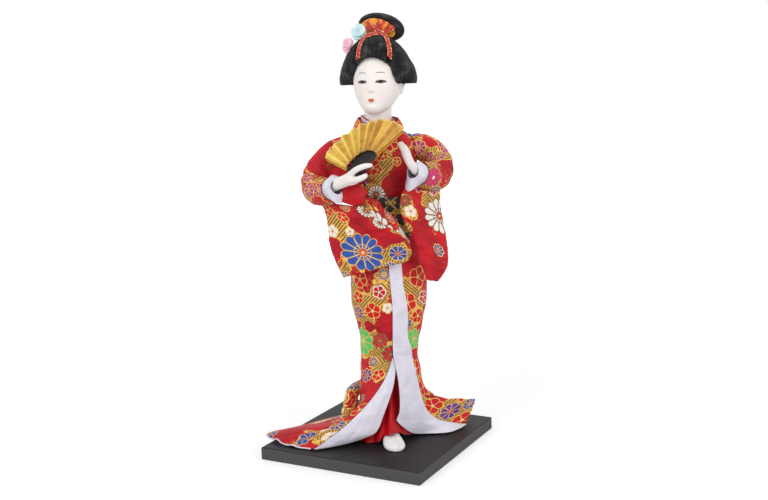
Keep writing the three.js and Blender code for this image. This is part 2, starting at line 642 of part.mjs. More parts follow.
const ARMS = {
  right: {
    path: [
      [-9, 1, 201], [-20, 2.2, 200.8], [-31, 3.2, 197], [-42, 2.5, 187], [-46, -5.5, 175.6],
      [-42, -16.5, 172.5], [-34.5, -27, 175.5],
    ],
    wide: [[0, 8, 7.6], [0.2, 9, 8.6], [0.4, 9.8, 9.6], [0.6, 9.8, 9.8], [0.8, 9.4, 9.6], [1, 8.2, 8.2]],
    left: [
      [0, -42, -14, 166], [0.2, -39, -17, 156], [0.4, -38, -19, 147], [0.6, -37.3, -20.5, 138],
      [0.8, -34, -21.5, 127], [1, -29, -22, 115.5],
    ],
    right: [
      [0, -14, -33.5, 163.5], [0.25, 0, -32.5, 151], [0.5, 10, -30.5, 145], [0.7, 15.3, -28.5, 138],
      [0.85, 17, -27, 132], [1, 14, -26.5, 126],
    ],
    shoulder: [-13, 1.3, 200.8],
    wrist: [-32.5, -30, 176.8],
    forearm: [[-37.5, -23, 174.2], [-31, -32, 177.8], [-25.5, -38.5, 181.2], [-22, -42, 183]],
    fold: 1.6,
    palm: [4.2, 3],
    fingers: [
      [1.5, [-23.5, -41, 183.5], [-20.2, -49, 189.4], [-13.3, -52.2, 191.7], [-7, -51.8, 191.6]],
      [1.5, [-23, -42, 182], [-18.6, -49, 181.6], [-13.6, -52.4, 181.9], [-9.9, -53.2, 184.6]],
      [1.4, [-23, -41.5, 181], [-19, -46.8, 180], [-15.4, -50, 180.2]],
      [1.5, [-23, -40.5, 181.2], [-19.2, -43.2, 179.8], [-16.2, -45.6, 179.6]],
    ],
  },
  left: {
    path: [
      [9, 1, 200], [20, 2.1, 199.6], [31, 2.7, 196.5], [37.3, -1.6, 187], [34.5, -11, 180],
      [29, -18.5, 181], [23.5, -25, 183.5],
    ],
    wide: [[0, 8, 7.6], [0.22, 9.4, 9], [0.4, 9.8, 9.8], [0.6, 9.4, 9.8], [0.8, 9.2, 9.6], [1, 8.4, 8.4]],
    left: [
      [0, 13.5, -26, 176], [0.2, 9.8, -27, 165], [0.4, 11.8, -27, 153], [0.6, 18, -26.5, 141],
      [0.8, 22.3, -25, 125], [1, 27, -23, 112.5],
    ],
    right: [
      [0, 37, -10, 173], [0.2, 37.5, -14, 158], [0.4, 39.4, -16, 146], [0.6, 40.8, -17.5, 134],
      [0.8, 40.6, -18.5, 121], [1, 33.5, -21, 110.5],
    ],
    shoulder: [13, 1.3, 199.8],
    wrist: [21.5, -27.5, 185.2],
    forearm: [[26, -22, 182.2], [21, -28, 185.8], [18, -31.5, 190], [16, -34, 194.5]],
    fold: 1.2,
    palm: [3, 2.3],
    fingers: [
      [1.3, [17.2, -33, 191.5], [13.5, -35.6, 199], [10.6, -36.6, 205.4]],
      [1.3, [17.8, -33.2, 192], [14.9, -35.4, 199.4], [12.1, -36.3, 205.7]],
      [1.2, [18, -32.4, 192], [16.2, -34.4, 198.6], [13.8, -35.2, 204.2]],
      [1.2, [16, -33.4, 191], [13.4, -36.8, 195.5], [12.4, -38.4, 199.8]],
    ],
  },
};

const stretched = (points, by) => {
  const last = points.length - 1;
  const start = mix3(points[1], points[0], 1 + by);
  const end = mix3(points[last - 1], points[last], 1 + by);
  return [start, ...points.slice(1, last), end];
};

function bodyRoom() {
  const rings = [];
  for (let i = 0; i <= 10; i += 1) {
    const z = mix(BODICE_LOW, CORE_TOP, i / 10);
    const ring = [];
    for (let j = 0; j < 24; j += 1) {
      ring.push(vec(around(CORE, z, 15 * j, BODICE_OUT + CLOTH / 2 + 2 * CLEAR)));
    }
    rings.push(ring);
  }
  return solid(loft(rings));
}
const bodyGap = bodyRoom();

function sleeve(arm) {
  const outside = solid(loft(tubeRings(curve(arm.path), arm.wide, 12, 8)));
  const thinner = arm.wide.map(([t, w, h]) => [t, w - SLEEVE_WALL, h - SLEEVE_WALL]);
  const inside = solid(loft(tubeRings(curve(stretched(arm.path, 0.4)), thinner, 8, 7)));
  const bagAt = (share, down) => {
    const p = mix3(smooth(arm.left, down), smooth(arm.right, down), share);
    const hang = Math.sin(Math.PI * Math.min(1, down * 1.2) / 2);
    const wave = arm.fold * Math.sin(2.5 * Math.PI * share) * hang;
    return [p[0], p[1] - BAG_BELLY * Math.sin(Math.PI * share) - wave, p[2]];
  };
  const thickAt = (share, down) => {
    const fill = Math.sin(Math.PI * share) * Math.sin(Math.PI * down) ** 0.5;
    return mix(BAG_EDGE, BAG_MIDDLE, fill);
  };
  const bag = solid(sheet(bagAt, 9, 7, thickAt));
  return bag.subtract(inside).add(outside.subtract(inside)).subtract(bodyGap);
}

// A flared cuff round the wrist, set along the forearm
function cuff(arm) {
  const end = vec(arm.path[arm.path.length - 1]);
  const ahead = end.clone().sub(vec(arm.path[arm.path.length - 2])).normalize();
  const mouth = arm.wide[arm.wide.length - 1][1] - SLEEVE_WALL - 2 * CLEAR;
  const profile = [
    [mouth - CUFF_WALL, -4], [mouth, -4], [mouth + 0.1, 0.8], [mouth + 2, 5], [mouth + 1.2, 5.3],
    [mouth - CUFF_WALL, 0.8], [mouth - CUFF_WALL, -4],
  ].map(([r, y]) => new THREE.Vector2(r, y));
  const ring = new THREE.LatheGeometry(profile, 14);
  ring.applyQuaternion(new THREE.Quaternion().setFromUnitVectors(new THREE.Vector3(0, 1, 0), ahead));
  return moved(ring, end.x, end.y, end.z);
}

// A hand: forearm, palm and fingers joined; a finger is its radius and then its path
function finger(radius, points) {
  const taper = [[0, 1], [0.7, 0.9], [1, 0.45]].map(([t, share]) => [t, share * radius, share * radius]);
  return solid(loft(tubeRings(curve(points), taper, 6, 3)));
}

function hand(arm) {
  const start = arm.forearm[0];
  const knuckles = arm.forearm[2];
  const taper = [[0, FOREARM, FOREARM], [0.55, 2.9, 2.7], [1, ...arm.palm]];
  let whole = solid(loft(tubeRings(curve(arm.forearm), taper, 10, 5)));
  for (const [radius, ...points] of arm.fingers) {
    whole = whole.add(finger(radius, points));
  }
  const hole = solid(wire([start, mix3(start, knuckles, 0.9)], WIRE_RADIUS + CLEAR, 2, 4));
  return whole.subtract(hole).subtract(armHole(arm));
}

const armLine = (arm) => [arm.shoulder, ...arm.path.slice(1), arm.wrist];
const armHole = (arm) => solid(wire(armLine(arm), WIRE_RADIUS + CLEAR, 12, 4));
const armRooms = Object.values(ARMS).map(armHole);
for (const [name, arm] of Object.entries(ARMS)) {
  add(`${name}_sleeve`, geometryOf(sleeve(arm)), 'brocade');
  add(`${name}_cuff`, cuff(arm), 'whiteSatin');
  add(`${name}_arm_wire`, wire(armLine(arm), WIRE_RADIUS, 12, 4), 'steel');
  add(`${name}_hand`, geometryOf(hand(arm)), 'skin');
}

const LINING_SIZE = [7, 3.2, 4.6];
const LINING_AT = [-19.9, -30.9, 170.6];
add('right_sleeve_lining', geometryOf(ellipsoid(...LINING_SIZE, ...LINING_AT, 14, 8)), 'redSatin');
const bodiceTube = solid(sheet(bodice, 20, 6, CLOTH, true));
add('kimono_bodice', geometryOf(bodiceTube.subtract(armRooms[0]).subtract(armRooms[1])), 'brocade');

// Foam body on its rod, with the socket that takes the neck
function bodyCore() {
  const rings = [];
  const steps = 10;
  for (let i = 0; i <= steps; i += 1) {
    const z = mix(CORE[0][0], CORE_TOP, i / steps);
    const ring = [];
    for (let j = 0; j < 18; j += 1) {
      ring.push(vec(around(CORE, z, 20 * j)));
    }
    rings.push(ring);
  }
  const socketEnd = CORE_TOP - PLUG_LENGTH - CLEAR;
  const socket = rod(PLUG_RADIUS + CLEAR, 2 * PLUG_LENGTH, NECK_X, 0, socketEnd);
  const bore = rod(ROD_RADIUS + CLEAR, ROD_TOP + CLEAR - CORE[0][0] + 1, ROD_X, ROD_Y, CORE[0][0] - 1);
  let core = solid(loft(rings)).subtract(solid(socket)).subtract(solid(bore));
  for (const room of [...coreRooms, ...armRooms]) {
    core = core.subtract(room);
  }
  return geometryOf(core);
}
add('body_core', bodyCore(), 'foam');
add('hem_roll', hemRoll(), 'brocade');

// Folding fan in a frame of its own: X along the right guard, Z out of its face
const fan = new THREE.Group();
const fanX = new THREE.Vector3(Math.cos(rad(FAN_LIFT)), 0, Math.sin(rad(FAN_LIFT)));
const fanUp = new THREE.Vector3(-Math.sin(rad(FAN_LIFT)), 0, Math.cos(rad(FAN_LIFT)));
const fanY = fanUp.multiplyScalar(Math.cos(rad(FAN_LEAN)));
fanY.y += Math.sin(rad(FAN_LEAN));
const fanZ = new THREE.Vector3().crossVectors(fanX, fanY);
fan.quaternion.setFromRotationMatrix(new THREE.Matrix4().makeBasis(fanX, fanY, fanZ));
fan.position.set(...FAN_PIVOT);
figure.add(fan);

const STICKS = FAN_RIBS + 2;
const STICK_PITCH = STICK_THICK + STICK_GAP;
const stickHeight = (i) => ((STICKS - 1) / 2 - i) * STICK_PITCH;
const stickAngle = (i) => rad(FAN_SPREAD * i / (STICKS - 1));

function stick(width, tip) {
  const outline = new THREE.Shape();
  outline.absarc(0, 0, STICK_HEEL, Math.PI / 3, 5 * Math.PI / 3);
  outline.lineTo(FAN_LEAF_START * 0.5, -width / 2);
  outline.lineTo(tip, -width * 0.3);
  outline.lineTo(tip, width * 0.3);
  outline.lineTo(FAN_LEAF_START * 0.5, width / 2);
  outline.closePath();
  const hole = new THREE.Path();
  hole.absarc(0, 0, RIVET_RADIUS + STICK_GAP, 0, 2 * Math.PI, true);
  outline.holes.push(hole);
  const blade = new THREE.ExtrudeGeometry(outline, {
    depth: STICK_THICK, bevelEnabled: false, curveSegments: 4,
  });
  return moved(blade, 0, 0, -STICK_THICK / 2);
}

function addStick(i, name, width, look) {
  const piece = add(name, stick(width, FAN_RADIUS - STICK_SHORT), look, fan);
  piece.position.z = stickHeight(i);
  piece.rotation.z = stickAngle(i);
}
addStick(0, 'fan_guard_left', GUARD_WIDTH, 'gold');
addStick(STICKS - 1, 'fan_guard_right', GUARD_WIDTH, 'gold');
for (let i = 1; i <= FAN_RIBS; i += 1) {
  addStick(i, `fan_rib_${String(i).padStart(2, '0')}`, RIB_WIDTH, 'lacquer');
}

// Pleated leaf: a valley on each stick and a ridge between each two
function leaf(share, out) {
  const folds = 2 * (STICKS - 1);
  const k = share * folds;
  const radius = mix(FAN_LEAF_START, FAN_RADIUS, out);
  const ridge = Math.round(k) % 2 === 1 ? PLEAT_DEPTH * mix(0.55, 1, out) : 0;
  const base = stickHeight(k / 2) + (STICK_THICK + LEAF_THICK) / 2 + CLEAR + 0.1;
  const angle = stickAngle(k / 2);
  return [radius * Math.cos(angle), radius * Math.sin(angle), base + ridge];
}
add('fan_leaf', sheet(leaf, 2 * (STICKS - 1), 1, LEAF_THICK), 'gold', fan);

function rivet() {
  const reach = STICKS * STICK_PITCH / 2;
  const end = reach + RIVET_CAP;
  const profile = [
    [0, -end], [RIVET_HEAD, -end], [RIVET_HEAD, -reach], [RIVET_RADIUS, -reach],
    [RIVET_RADIUS, reach], [RIVET_HEAD, reach], [RIVET_HEAD, end], [0, end],
  ].map(([r, y]) => new THREE.Vector2(r, y));
  const pin = new THREE.LatheGeometry(profile, 8);
  pin.rotateX(Math.PI / 2);
  return pin;
}
add('fan_rivet', rivet(), 'steel', fan);

// Head, in the frame of the neck's axis. Rows are [z, half width, front y, back y]
const HEAD_X = 1.2;
const EAR = [2.6, 4.2, 5.6];
const EAR_OUT = 14.7;
const EAR_Z = 238.4;
const HEAD_FORM = [
  [CHIN_Z, 3.4, -15, -7], [224.2, 6.4, -16.8, -3], [227, 9.8, -17.8, 3], [231, 12.6, -18.1, 8],
  [236, 14.9, -18.3, 12], [243, 16.3, -18.2, 14.5], [250, 16.4, -17.6, 15.5], [257, 15.1, -15.8, 15],
  [263, 12, -12.4, 12.5], [267, 7.4, -7.5, 8], [268.5, 2.6, -2.8, 3],
];
const HAIR_FORM = [
  [242.2, 26.2, -9, 15], [244, 26.6, -11, 16.5], [247, 26.4, -13, 18], [253, 24.8, -15.6, 19],
  [258, 22, -17.9, 18.6], [263, 19.2, -17.6, 17], [268, 15, -14.8, 13], [272, 9.4, -10.6, 8],
  [274, 4, -6.5, 2],
];

function ovals(form, grow, steps, sides) {
  const rings = [];
  for (let i = 0; i <= steps; i += 1) {
    const z = mix(form[0][0], form[form.length - 1][0], i / steps);
    const [a, front, back] = smooth(form, z);
    const ring = [];
    for (let j = 0; j < sides; j += 1) {
      const angle = 2 * Math.PI * j / sides;
      const x = (a + grow) * Math.sin(angle);
      const y = mix(front - grow, back + grow, (1 - Math.cos(angle)) / 2);
      const end = i === 0 ? -grow : i === steps ? grow : 0;
      ring.push(new THREE.Vector3(HEAD_X + x, y, z + end));
    }
    rings.push(ring);
  }
  return solid(loft(rings));
}

function headSolid(grow) {
  const neck = solid(rod(NECK_RADIUS + grow, 230 - COLLAR_BASE, 0, 0, COLLAR_BASE, 18));
  const ear = (side) => ellipsoid(
    ...EAR.map((size) => size + grow), HEAD_X + side * EAR_OUT, 1, EAR_Z, 10, 8,
  );
  return ovals(HEAD_FORM, grow, 12, 22).add(neck).add(ear(-1)).add(ear(1));
}
const plug = solid(rod(PLUG_RADIUS, PLUG_LENGTH + 4, 0, 0, CORE_TOP - PLUG_LENGTH));
add('head', geometryOf(headSolid(0).add(plug)), 'skin', head);

// Hair: a dome over the head with an arch for the face, parted into a front roll,
// two side wings and the back; the topknot stands behind the roll
const ARCH = { half: 14.4, foot: 240, top: 259.3 };
const PART = 10.5;
const KNOT_SIZE = [16.2, 8, 9.4];
const KNOT_AT = [HEAD_X - 0.6, 12.5, 279.4];
const KNOT_TILT = 13;
const KNOT_RIM = [3, 1, 1.6];
const KNOT_OPEN = [-1, -6, -2];
const FRONT_END = -1;
const BACK_START = 8;
const NAPE_SIZE = [14, 7.5, 11.5];
const NAPE_AT = [HEAD_X, 13.5, 242];

function arch() {
  const opening = new THREE.Shape();
  opening.absellipse(0, 0, ARCH.half, ARCH.top - ARCH.foot, 0, Math.PI);
  opening.closePath();
  const tunnel = new THREE.ExtrudeGeometry(opening, {
    depth: 30, bevelEnabled: false, curveSegments: 14,
  });
  tunnel.rotateX(Math.PI / 2);
  return solid(moved(tunnel, HEAD_X, -4, ARCH.foot));
}
const tilted = (ball) => ball.rotate([0, KNOT_TILT, 0]).translate(KNOT_AT);
const knotBall = (grow) => tilted(ellipsoid(...KNOT_SIZE.map((size) => size + grow), 0, 0, 0, 22, 11));
const knotRoom = knotBall(CLEAR);
const skull = headSolid(CLEAR);
const dome = ovals(HAIR_FORM, 0, 10, 28).subtract(skull).subtract(arch()).subtract(knotRoom);
const frontBlock = (grow) => box(2 * (PART + grow), 40, 60, HEAD_X, FRONT_END - 20 + grow, 285 - grow);
const backBlock = (grow) => box(80, 60, 80, 0, BACK_START + 30 - grow, 260);
const middle = dome.subtract(frontBlock(CLEAR)).subtract(backBlock(CLEAR));
const half = (side) => box(60, 100, 100, HEAD_X + side * (30 + CLEAR / 2), 0, 260);
add('hair_front_roll', geometryOf(dome.intersect(frontBlock(0))), 'hair', head);
add('hair_right_wing', geometryOf(middle.intersect(half(-1))), 'hair', head);
add('hair_left_wing', geometryOf(middle.intersect(half(1))), 'hair', head);
const nape = ellipsoid(...NAPE_SIZE, ...NAPE_AT, 16, 9);
add('hair_back', geometryOf(
  dome.intersect(backBlock(0)).add(nape.intersect(backBlock(0))).subtract(skull).subtract(knotRoom),
), 'hair', head);

function scoop(shrink) {
  const sizes = KNOT_SIZE.map((size, k) => size - KNOT_RIM[k] - shrink);
  return tilted(ellipsoid(...sizes, ...KNOT_OPEN, 18, 9));
}
add('topknot', geometryOf(knotBall(0).subtract(scoop(0))), 'hair', head);
add('topknot_cloth', geometryOf(scoop(CLEAR + 0.1).intersect(knotBall(-0.1))), 'hairCloth', head);

// Ribbons down both sides of the front roll, on the surface of the dome
const RIBBON_WIDTH = 3;
const RIBBON_LOW = 258;
const RIBBON_HIGH = 272.6;
function ribbon(side) {
  return (across, down) => {
    const z = mix(RIBBON_HIGH, RIBBON_LOW, down);
    const [a, front, back] = smooth(HAIR_FORM, z);
    const x = side * (mix(5, PART, down ** 0.6) + (across - 0.5) * RIBBON_WIDTH);
    const reach = a + 1.2;
    const cosine = Math.sqrt(Math.max(0.02, 1 - (x / reach) ** 2));
    return [HEAD_X + x, mix(front - 1.2, back + 1.2, (1 - cosine) / 2), z + 0.4];
  };
}
add('hair_ribbon_right', sheet(ribbon(-1), 2, 5, 0.5), 'ribbon', head);
add('hair_ribbon_left', sheet(ribbon(1), 2, 5, 0.5), 'ribbon', head);

// Roses of rolled ribbon
const ROSE_TURNS = 2.4;
const ROSES = {
  blue_rose: {
    look: 'blue', radius: 5.4, height: 4.2, at: [-10.6, -2.6, 274.7], facing: [-0.3, -0.9, 0.32], squeeze: 1,
  },
  pink_rose: {
    look: 'pink', radius: 5.8, height: 4, at: [-17.7, -3.4, 267.6], facing: [-0.66, -0.7, 0.28], squeeze: 0.9,
  },
};
function rose(radius, height) {
  const outer = [];
  const inner = [];
  const steps = 24;
  const pitch = radius / ROSE_TURNS;
  for (let i = 0; i <= steps; i += 1) {
    const angle = 2 * Math.PI * ROSE_TURNS * i / steps;
    const r = mix(0.5, radius, i / steps);
    const ray = new THREE.Vector2(Math.cos(angle), Math.sin(angle));
    outer.push(ray.clone().multiplyScalar(r));
    inner.push(ray.multiplyScalar(r - pitch * 0.45));
  }
  const shape = new THREE.Shape([...outer, ...inner.slice(8).reverse()]);
  return new THREE.ExtrudeGeometry(shape, { depth: height, bevelEnabled: false });
}

function placedRose(place) {
  const petals = rose(place.radius, place.height);
  petals.scale(place.squeeze, 1, 1);
  const up = new THREE.Vector3(0, 0, 1);
  petals.applyQuaternion(new THREE.Quaternion().setFromUnitVectors(up, vec(place.facing).normalize()));
  return moved(petals, ...place.at);
}
for (const [name, place] of Object.entries(ROSES)) {
  add(name, placedRose(place), place.look, head);
}

export default object;
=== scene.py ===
import math

import bpy
import numpy as np
from mathutils import Matrix, Vector
from mathutils.bvhtree import BVHTree
from mathutils.interpolate import poly_3d_calc

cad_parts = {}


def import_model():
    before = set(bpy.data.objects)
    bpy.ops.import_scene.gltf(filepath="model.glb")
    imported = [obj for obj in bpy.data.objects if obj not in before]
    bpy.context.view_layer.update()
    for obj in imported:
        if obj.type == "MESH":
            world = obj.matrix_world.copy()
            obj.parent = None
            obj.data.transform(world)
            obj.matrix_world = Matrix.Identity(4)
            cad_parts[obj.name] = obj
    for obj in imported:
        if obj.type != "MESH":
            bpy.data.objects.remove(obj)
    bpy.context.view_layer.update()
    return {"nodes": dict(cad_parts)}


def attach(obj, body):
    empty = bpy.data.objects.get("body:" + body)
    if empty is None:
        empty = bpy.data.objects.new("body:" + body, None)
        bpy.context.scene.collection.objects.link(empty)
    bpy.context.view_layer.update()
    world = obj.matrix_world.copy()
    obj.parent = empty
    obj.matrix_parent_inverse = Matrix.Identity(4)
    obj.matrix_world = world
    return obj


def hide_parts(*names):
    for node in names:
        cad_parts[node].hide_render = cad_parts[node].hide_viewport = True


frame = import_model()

# Camera of the photograph: place in mm, angles in degrees
CAMERA_AT = (343.34, -631.30, 256.26)
CAMERA_AZIMUTH = 28.01
CAMERA_RISE = 9.32
CAMERA_ROLL = -1.75
CAMERA_LENS = 49.83
CAMERA_SENSOR = 36


def make_camera():
    azimuth = math.radians(CAMERA_AZIMUTH)
    rise = math.radians(CAMERA_RISE)
    roll = math.radians(CAMERA_ROLL)
    back = Vector((
        math.sin(azimuth) * math.cos(rise),
        -math.cos(azimuth) * math.cos(rise),
        math.sin(rise),
    ))
    level = Vector((math.cos(azimuth), math.sin(azimuth), 0))
    upright = back.cross(level)
    across = level * math.cos(roll) + upright * math.sin(roll)
    up = upright * math.cos(roll) - level * math.sin(roll)
    data = bpy.data.cameras.new("camera")
    data.lens = CAMERA_LENS
    data.sensor_width = CAMERA_SENSOR
    data.clip_start = 0.01
    data.clip_end = 20
    camera = bpy.data.objects.new("camera", data)
    bpy.context.scene.collection.objects.link(camera)
    turn = Matrix((across, up, back)).transposed().to_4x4()
    camera.matrix_world = Matrix.Translation(Vector(CAMERA_AT) / 1000) @ turn
    bpy.context.scene.camera = camera


make_camera()
bpy.context.scene.view_settings.view_transform = "Standard"

# Sizes of the doll, in mm. The figure stands on z = 0 and faces -Y in a frame of its own
FIGURE_AT = (7.1, 3.8, 8.8)
FIGURE_TURN = 28
NECK_X = -2.7
HEAD_TURN = -16.5
CLEAR = 0.3


def turn_about_z(points, degrees):
    a = math.radians(degrees)
    out = np.array(points, float)
    x, y = out[..., 0].copy(), out[..., 1].copy()
    out[..., 0] = x * math.cos(a) - y * math.sin(a)
    out[..., 1] = x * math.sin(a) + y * math.cos(a)
    return out


def from_figure(points):
    return (turn_about_z(points, FIGURE_TURN) + np.array(FIGURE_AT)) / 1000


def from_head(points):
    return from_figure(turn_about_z(points, HEAD_TURN) + np.array((NECK_X, 0, 0)))


def to_figure(points):
    return turn_about_z(np.asarray(points, float) * 1000 - np.array(FIGURE_AT), -FIGURE_TURN)


def to_head(points):
    return turn_about_z(to_figure(points) - np.array((NECK_X, 0, 0)), -HEAD_TURN)


# Maths in node trees: an expression on values adds its Math nodes
class Value:
    """A socket of a node, for use in sums."""

    def __init__(self, nodes, socket):
        self.nodes = nodes
        self.socket = socket

    def out(self, index):
        return Value(self.nodes, self.socket.node.outputs[index])

    def math(self, operation, *others):
        return self.nodes.add("ShaderNodeMath", {"operation": operation}, [self, *others])

    def flipped(self, operation, other):
        return self.nodes.add("ShaderNodeMath", {"operation": operation}, [other, self])

    def sin(self): return self.math("SINE")
    def cos(self): return self.math("COSINE")
    def root(self): return self.math("SQRT")
    def most(self, other): return self.math("MAXIMUM", other)
    def __add__(self, other): return self.math("ADD", other)
    def __sub__(self, other): return self.math("SUBTRACT", other)
    def __mul__(self, other): return self.math("MULTIPLY", other)
    def __truediv__(self, other): return self.math("DIVIDE", other)
    def __pow__(self, other): return self.math("POWER", other)
    def __radd__(self, other): return self.flipped("ADD", other)
    def __rsub__(self, other): return self.flipped("SUBTRACT", other)
    def __rmul__(self, other): return self.flipped("MULTIPLY", other)
    def __rtruediv__(self, other): return self.flipped("DIVIDE", other)
    def __abs__(self): return self.math("ABSOLUTE")


class Nodes:
    """A node tree and the one way of adding nodes to it."""

    def __init__(self, tree):
        self.tree = tree

    def add(self, kind, settings=None, values=(), out=0):
        node = self.tree.nodes.new(kind)
        for key, value in (settings or {}).items():
            if key in ("stops", "held_stops"):
                ramp = node.color_ramp
                ramp.elements.remove(ramp.elements[1])
                ramp.elements[0].color = value[0][1]
                for place, color in value[1:]:
                    ramp.elements.new(place).color = color
                if key == "held_stops":
                    ramp.interpolation = "CONSTANT"
            else:
                setattr(node, key, value)
        pairs = values.items() if isinstance(values, dict) else enumerate(values)
        for key, value in pairs:
            if isinstance(value, Value):
                self.tree.links.new(value.socket, node.inputs[key])
            else:
                node.inputs[key].default_value = value
        return Value(self, node.outputs[out])

    def step(self, value, low, high):
        return self.add("ShaderNodeMapRange", {"interpolation_type": "SMOOTHSTEP"}, [value, low, high])

    def near(self, value, far, close):
        """1 where the value is closer to 0 than close, and 0 beyond far."""
        return self.step(abs(value), far, close)

    def blend(self, share, a, b):
        """a where share is 0, b where it is 1."""
        pairs = {0: share, 6: a, 7: b}
        return self.add("ShaderNodeMix", {"data_type": "RGBA"}, pairs, 2)

    def join(self, x, y, z):
        return self.add("ShaderNodeCombineXYZ", None, [x, y, z])

    def split(self, vector):
        parts = self.add("ShaderNodeSeparateXYZ", None, [vector])
        return parts, parts.out(1), parts.out(2)

    def noise(self, vector, scale, detail=2, rough=0.5, warp=0):
        pairs = {"Vector": vector, "Scale": scale, "Detail": detail, "Roughness": rough, "Distortion": warp}
        return self.add("ShaderNodeTexNoise", None, pairs)

    def object_mm(self, turned=0.0, shift=(0, 0, 0)):
        """Object coordinates in mm, apart and as one place, in the row's frame or one turned about Z."""
        at = self.add("ShaderNodeTexCoord", None, (), 3)
        settings = {"vector_type": "TEXTURE"}
        pairs = {
            "Vector": at,
            "Location": tuple(s / 1000 for s in shift),
            "Rotation": (0, 0, math.radians(turned)),
            "Scale": (0.001, 0.001, 0.001),
        }
        place = self.add("ShaderNodeMapping", settings, pairs)
        return (*self.split(place), place)

    def figure_mm(self):
        return self.object_mm(FIGURE_TURN, FIGURE_AT)

    def head_mm(self):
        neck = turn_about_z((NECK_X, 0, 0), FIGURE_TURN) + np.array(FIGURE_AT)
        return self.object_mm(FIGURE_TURN + HEAD_TURN, tuple(neck))

    def attribute(self, name):
        """The three numbers of a vector attribute of the piece."""
        return self.split(self.add("ShaderNodeAttribute", {"attribute_name": name}, (), 1))

    def cloth_mm(self):
        """The piece's own mm across and along, and both as one place."""
        across, along, _ = self.attribute("cloth")
        return across, along, self.join(across, along, 0.0)


def srgb(*levels):
    linear = []
    for level in levels:
        c = level / 255
        linear.append(c / 12.92 if c <= 0.04045 else ((c + 0.055) / 1.055) ** 2.4)
    return (*linear, 1.0)


class Look(Nodes):
    """A material with a Principled shader; constants are set on its own sockets."""

    def __init__(self, name, **constants):
        self.material = bpy.data.materials.new(name)
        self.material.use_nodes = True
        super().__init__(self.material.node_tree)
        self.tree.nodes.clear()
        self.shader = self.tree.nodes.new("ShaderNodeBsdfPrincipled")
        for key, value in constants.items():
            self.shader.inputs[key.replace("_", " ")].default_value = value
        self.end = self.tree.nodes.new("ShaderNodeOutputMaterial")
        self.tree.links.new(self.shader.outputs[0], self.end.inputs[0])

    def feed(self, name, value):
        self.tree.links.new(value.socket, self.shader.inputs[name])

    def bump(self, height, distance, strength=1.0):
        pairs = {"Height": height, "Distance": distance, "Strength": strength}
        self.feed("Normal", self.add("ShaderNodeBump", None, pairs))

    def finished(self, color, rough, height, distance, metal=None):
        self.feed("Base Color", color)
        self.feed("Roughness", rough)
        if metal is not None:
            self.feed("Metallic", metal)
        self.bump(height, distance)
        return self.material


# Curves and surfaces
def bend(p1, p2, m1, m2, s):
    """Point at share s between two points with these tangents."""
    return (
        (2 * s**3 - 3 * s**2 + 1) * p1 + (s**3 - 2 * s**2 + s) * m1
        + (3 * s**2 - 2 * s**3) * p2 + (s**3 - s**2) * m2
    )


def smooth(table, x):
    """Smooth values between the rows of a table whose first column rises."""
    t = np.asarray(table, float)
    x = np.asarray(x, float)
    i = np.clip(np.searchsorted(t[:, 0], x, side="left") - 1, 0, len(t) - 2)
    before, p1, p2 = t[np.maximum(i - 1, 0)], t[i], t[i + 1]
    after = t[np.minimum(i + 2, len(t) - 1)]
    step = (p2[..., 0] - p1[..., 0])[..., None]
    s = np.clip((x - p1[..., 0])[..., None] / step, 0, 1)
    m1 = (p2 - before)[..., 1:] / (p2[..., 0] - before[..., 0])[..., None] * step
    m2 = (after - p1)[..., 1:] / (after[..., 0] - p1[..., 0])[..., None] * step
    return bend(p1[..., 1:], p2[..., 1:], m1, m2, s)


def mix(a, b, t):
    return a + (b - a) * t


def hump(value, middle, width):
    return np.exp(-(((value - middle) / width) ** 2))


def stack(x, y, z):
    return np.stack(np.broadcast_arrays(x, y, z), axis=-1).astype(float)


def around(table, z, degrees, offset=0.0):
    """Point on an oval body table at an angle from the front, toward the wearer's right."""
    row = smooth(table, z)
    a = np.radians(degrees)
    x = row[..., 2] - (row[..., 0] + offset) * np.sin(a)
    y = row[..., 3] - (row[..., 1] + offset) * np.cos(a)
    return stack(x, y, z)


def path_points(points, count):
    """Points along a smooth centripetal curve, and the unit tangents there."""
    p = np.array(points, float)
    q = np.vstack([2 * p[0] - p[1], p, 2 * p[-1] - p[-2]])
    out = []
    for t in np.linspace(0, len(p) - 1, count):
        i = min(int(t), len(p) - 2)
        p0, p1, p2, p3 = q[i:i + 4]
        d0 = max(np.linalg.norm(p1 - p0), 1e-6) ** 0.5
        d1 = max(np.linalg.norm(p2 - p1), 1e-6) ** 0.5
        d2 = max(np.linalg.norm(p3 - p2), 1e-6) ** 0.5
        m1 = ((p1 - p0) / d0 - (p2 - p0) / (d0 + d1) + (p2 - p1) / d1) * d1
        m2 = ((p2 - p1) / d1 - (p3 - p1) / (d1 + d2) + (p3 - p2) / d2) * d1
        out.append(bend(p1, p2, m1, m2, t - i))
    out = np.array(out)
    return out, normed(np.gradient(out, axis=0))


def normed(v):
    return v / np.linalg.norm(v, axis=-1)[..., None]


def grid_faces(n, m, closed):
    """Quads over an n by m grid of points; closed joins the last column to the first."""
    i = np.arange(n if closed else n - 1)[:, None]
    j = np.arange(m - 1)[None, :]
    k = (i + 1) % n
    quads = np.stack(np.broadcast_arrays(i * m + j, i * m + j + 1, k * m + j + 1, k * m + j), -1)
    return quads.reshape(-1, 4)


def grid_normals(grid, closed):
    if closed:
        along = np.roll(grid, -1, 0) - np.roll(grid, 1, 0)
    else:
        along = np.gradient(grid, axis=0)
    down = np.gradient(grid, axis=1)
    normal = np.cross(along, down)
    return normal / np.maximum(np.linalg.norm(normal, axis=-1), 1e-9)[..., None]


def arc_mm(grid):
    """Lengths in mm from the first column and from the first row of a grid."""
    across = np.zeros(grid.shape[:2])
    across[1:] = np.cumsum(np.linalg.norm(np.diff(grid, axis=0), axis=-1), axis=0)
    down = np.zeros(grid.shape[:2])
    down[:, 1:] = np.cumsum(np.linalg.norm(np.diff(grid, axis=1), axis=-1), axis=1)
    return across, down


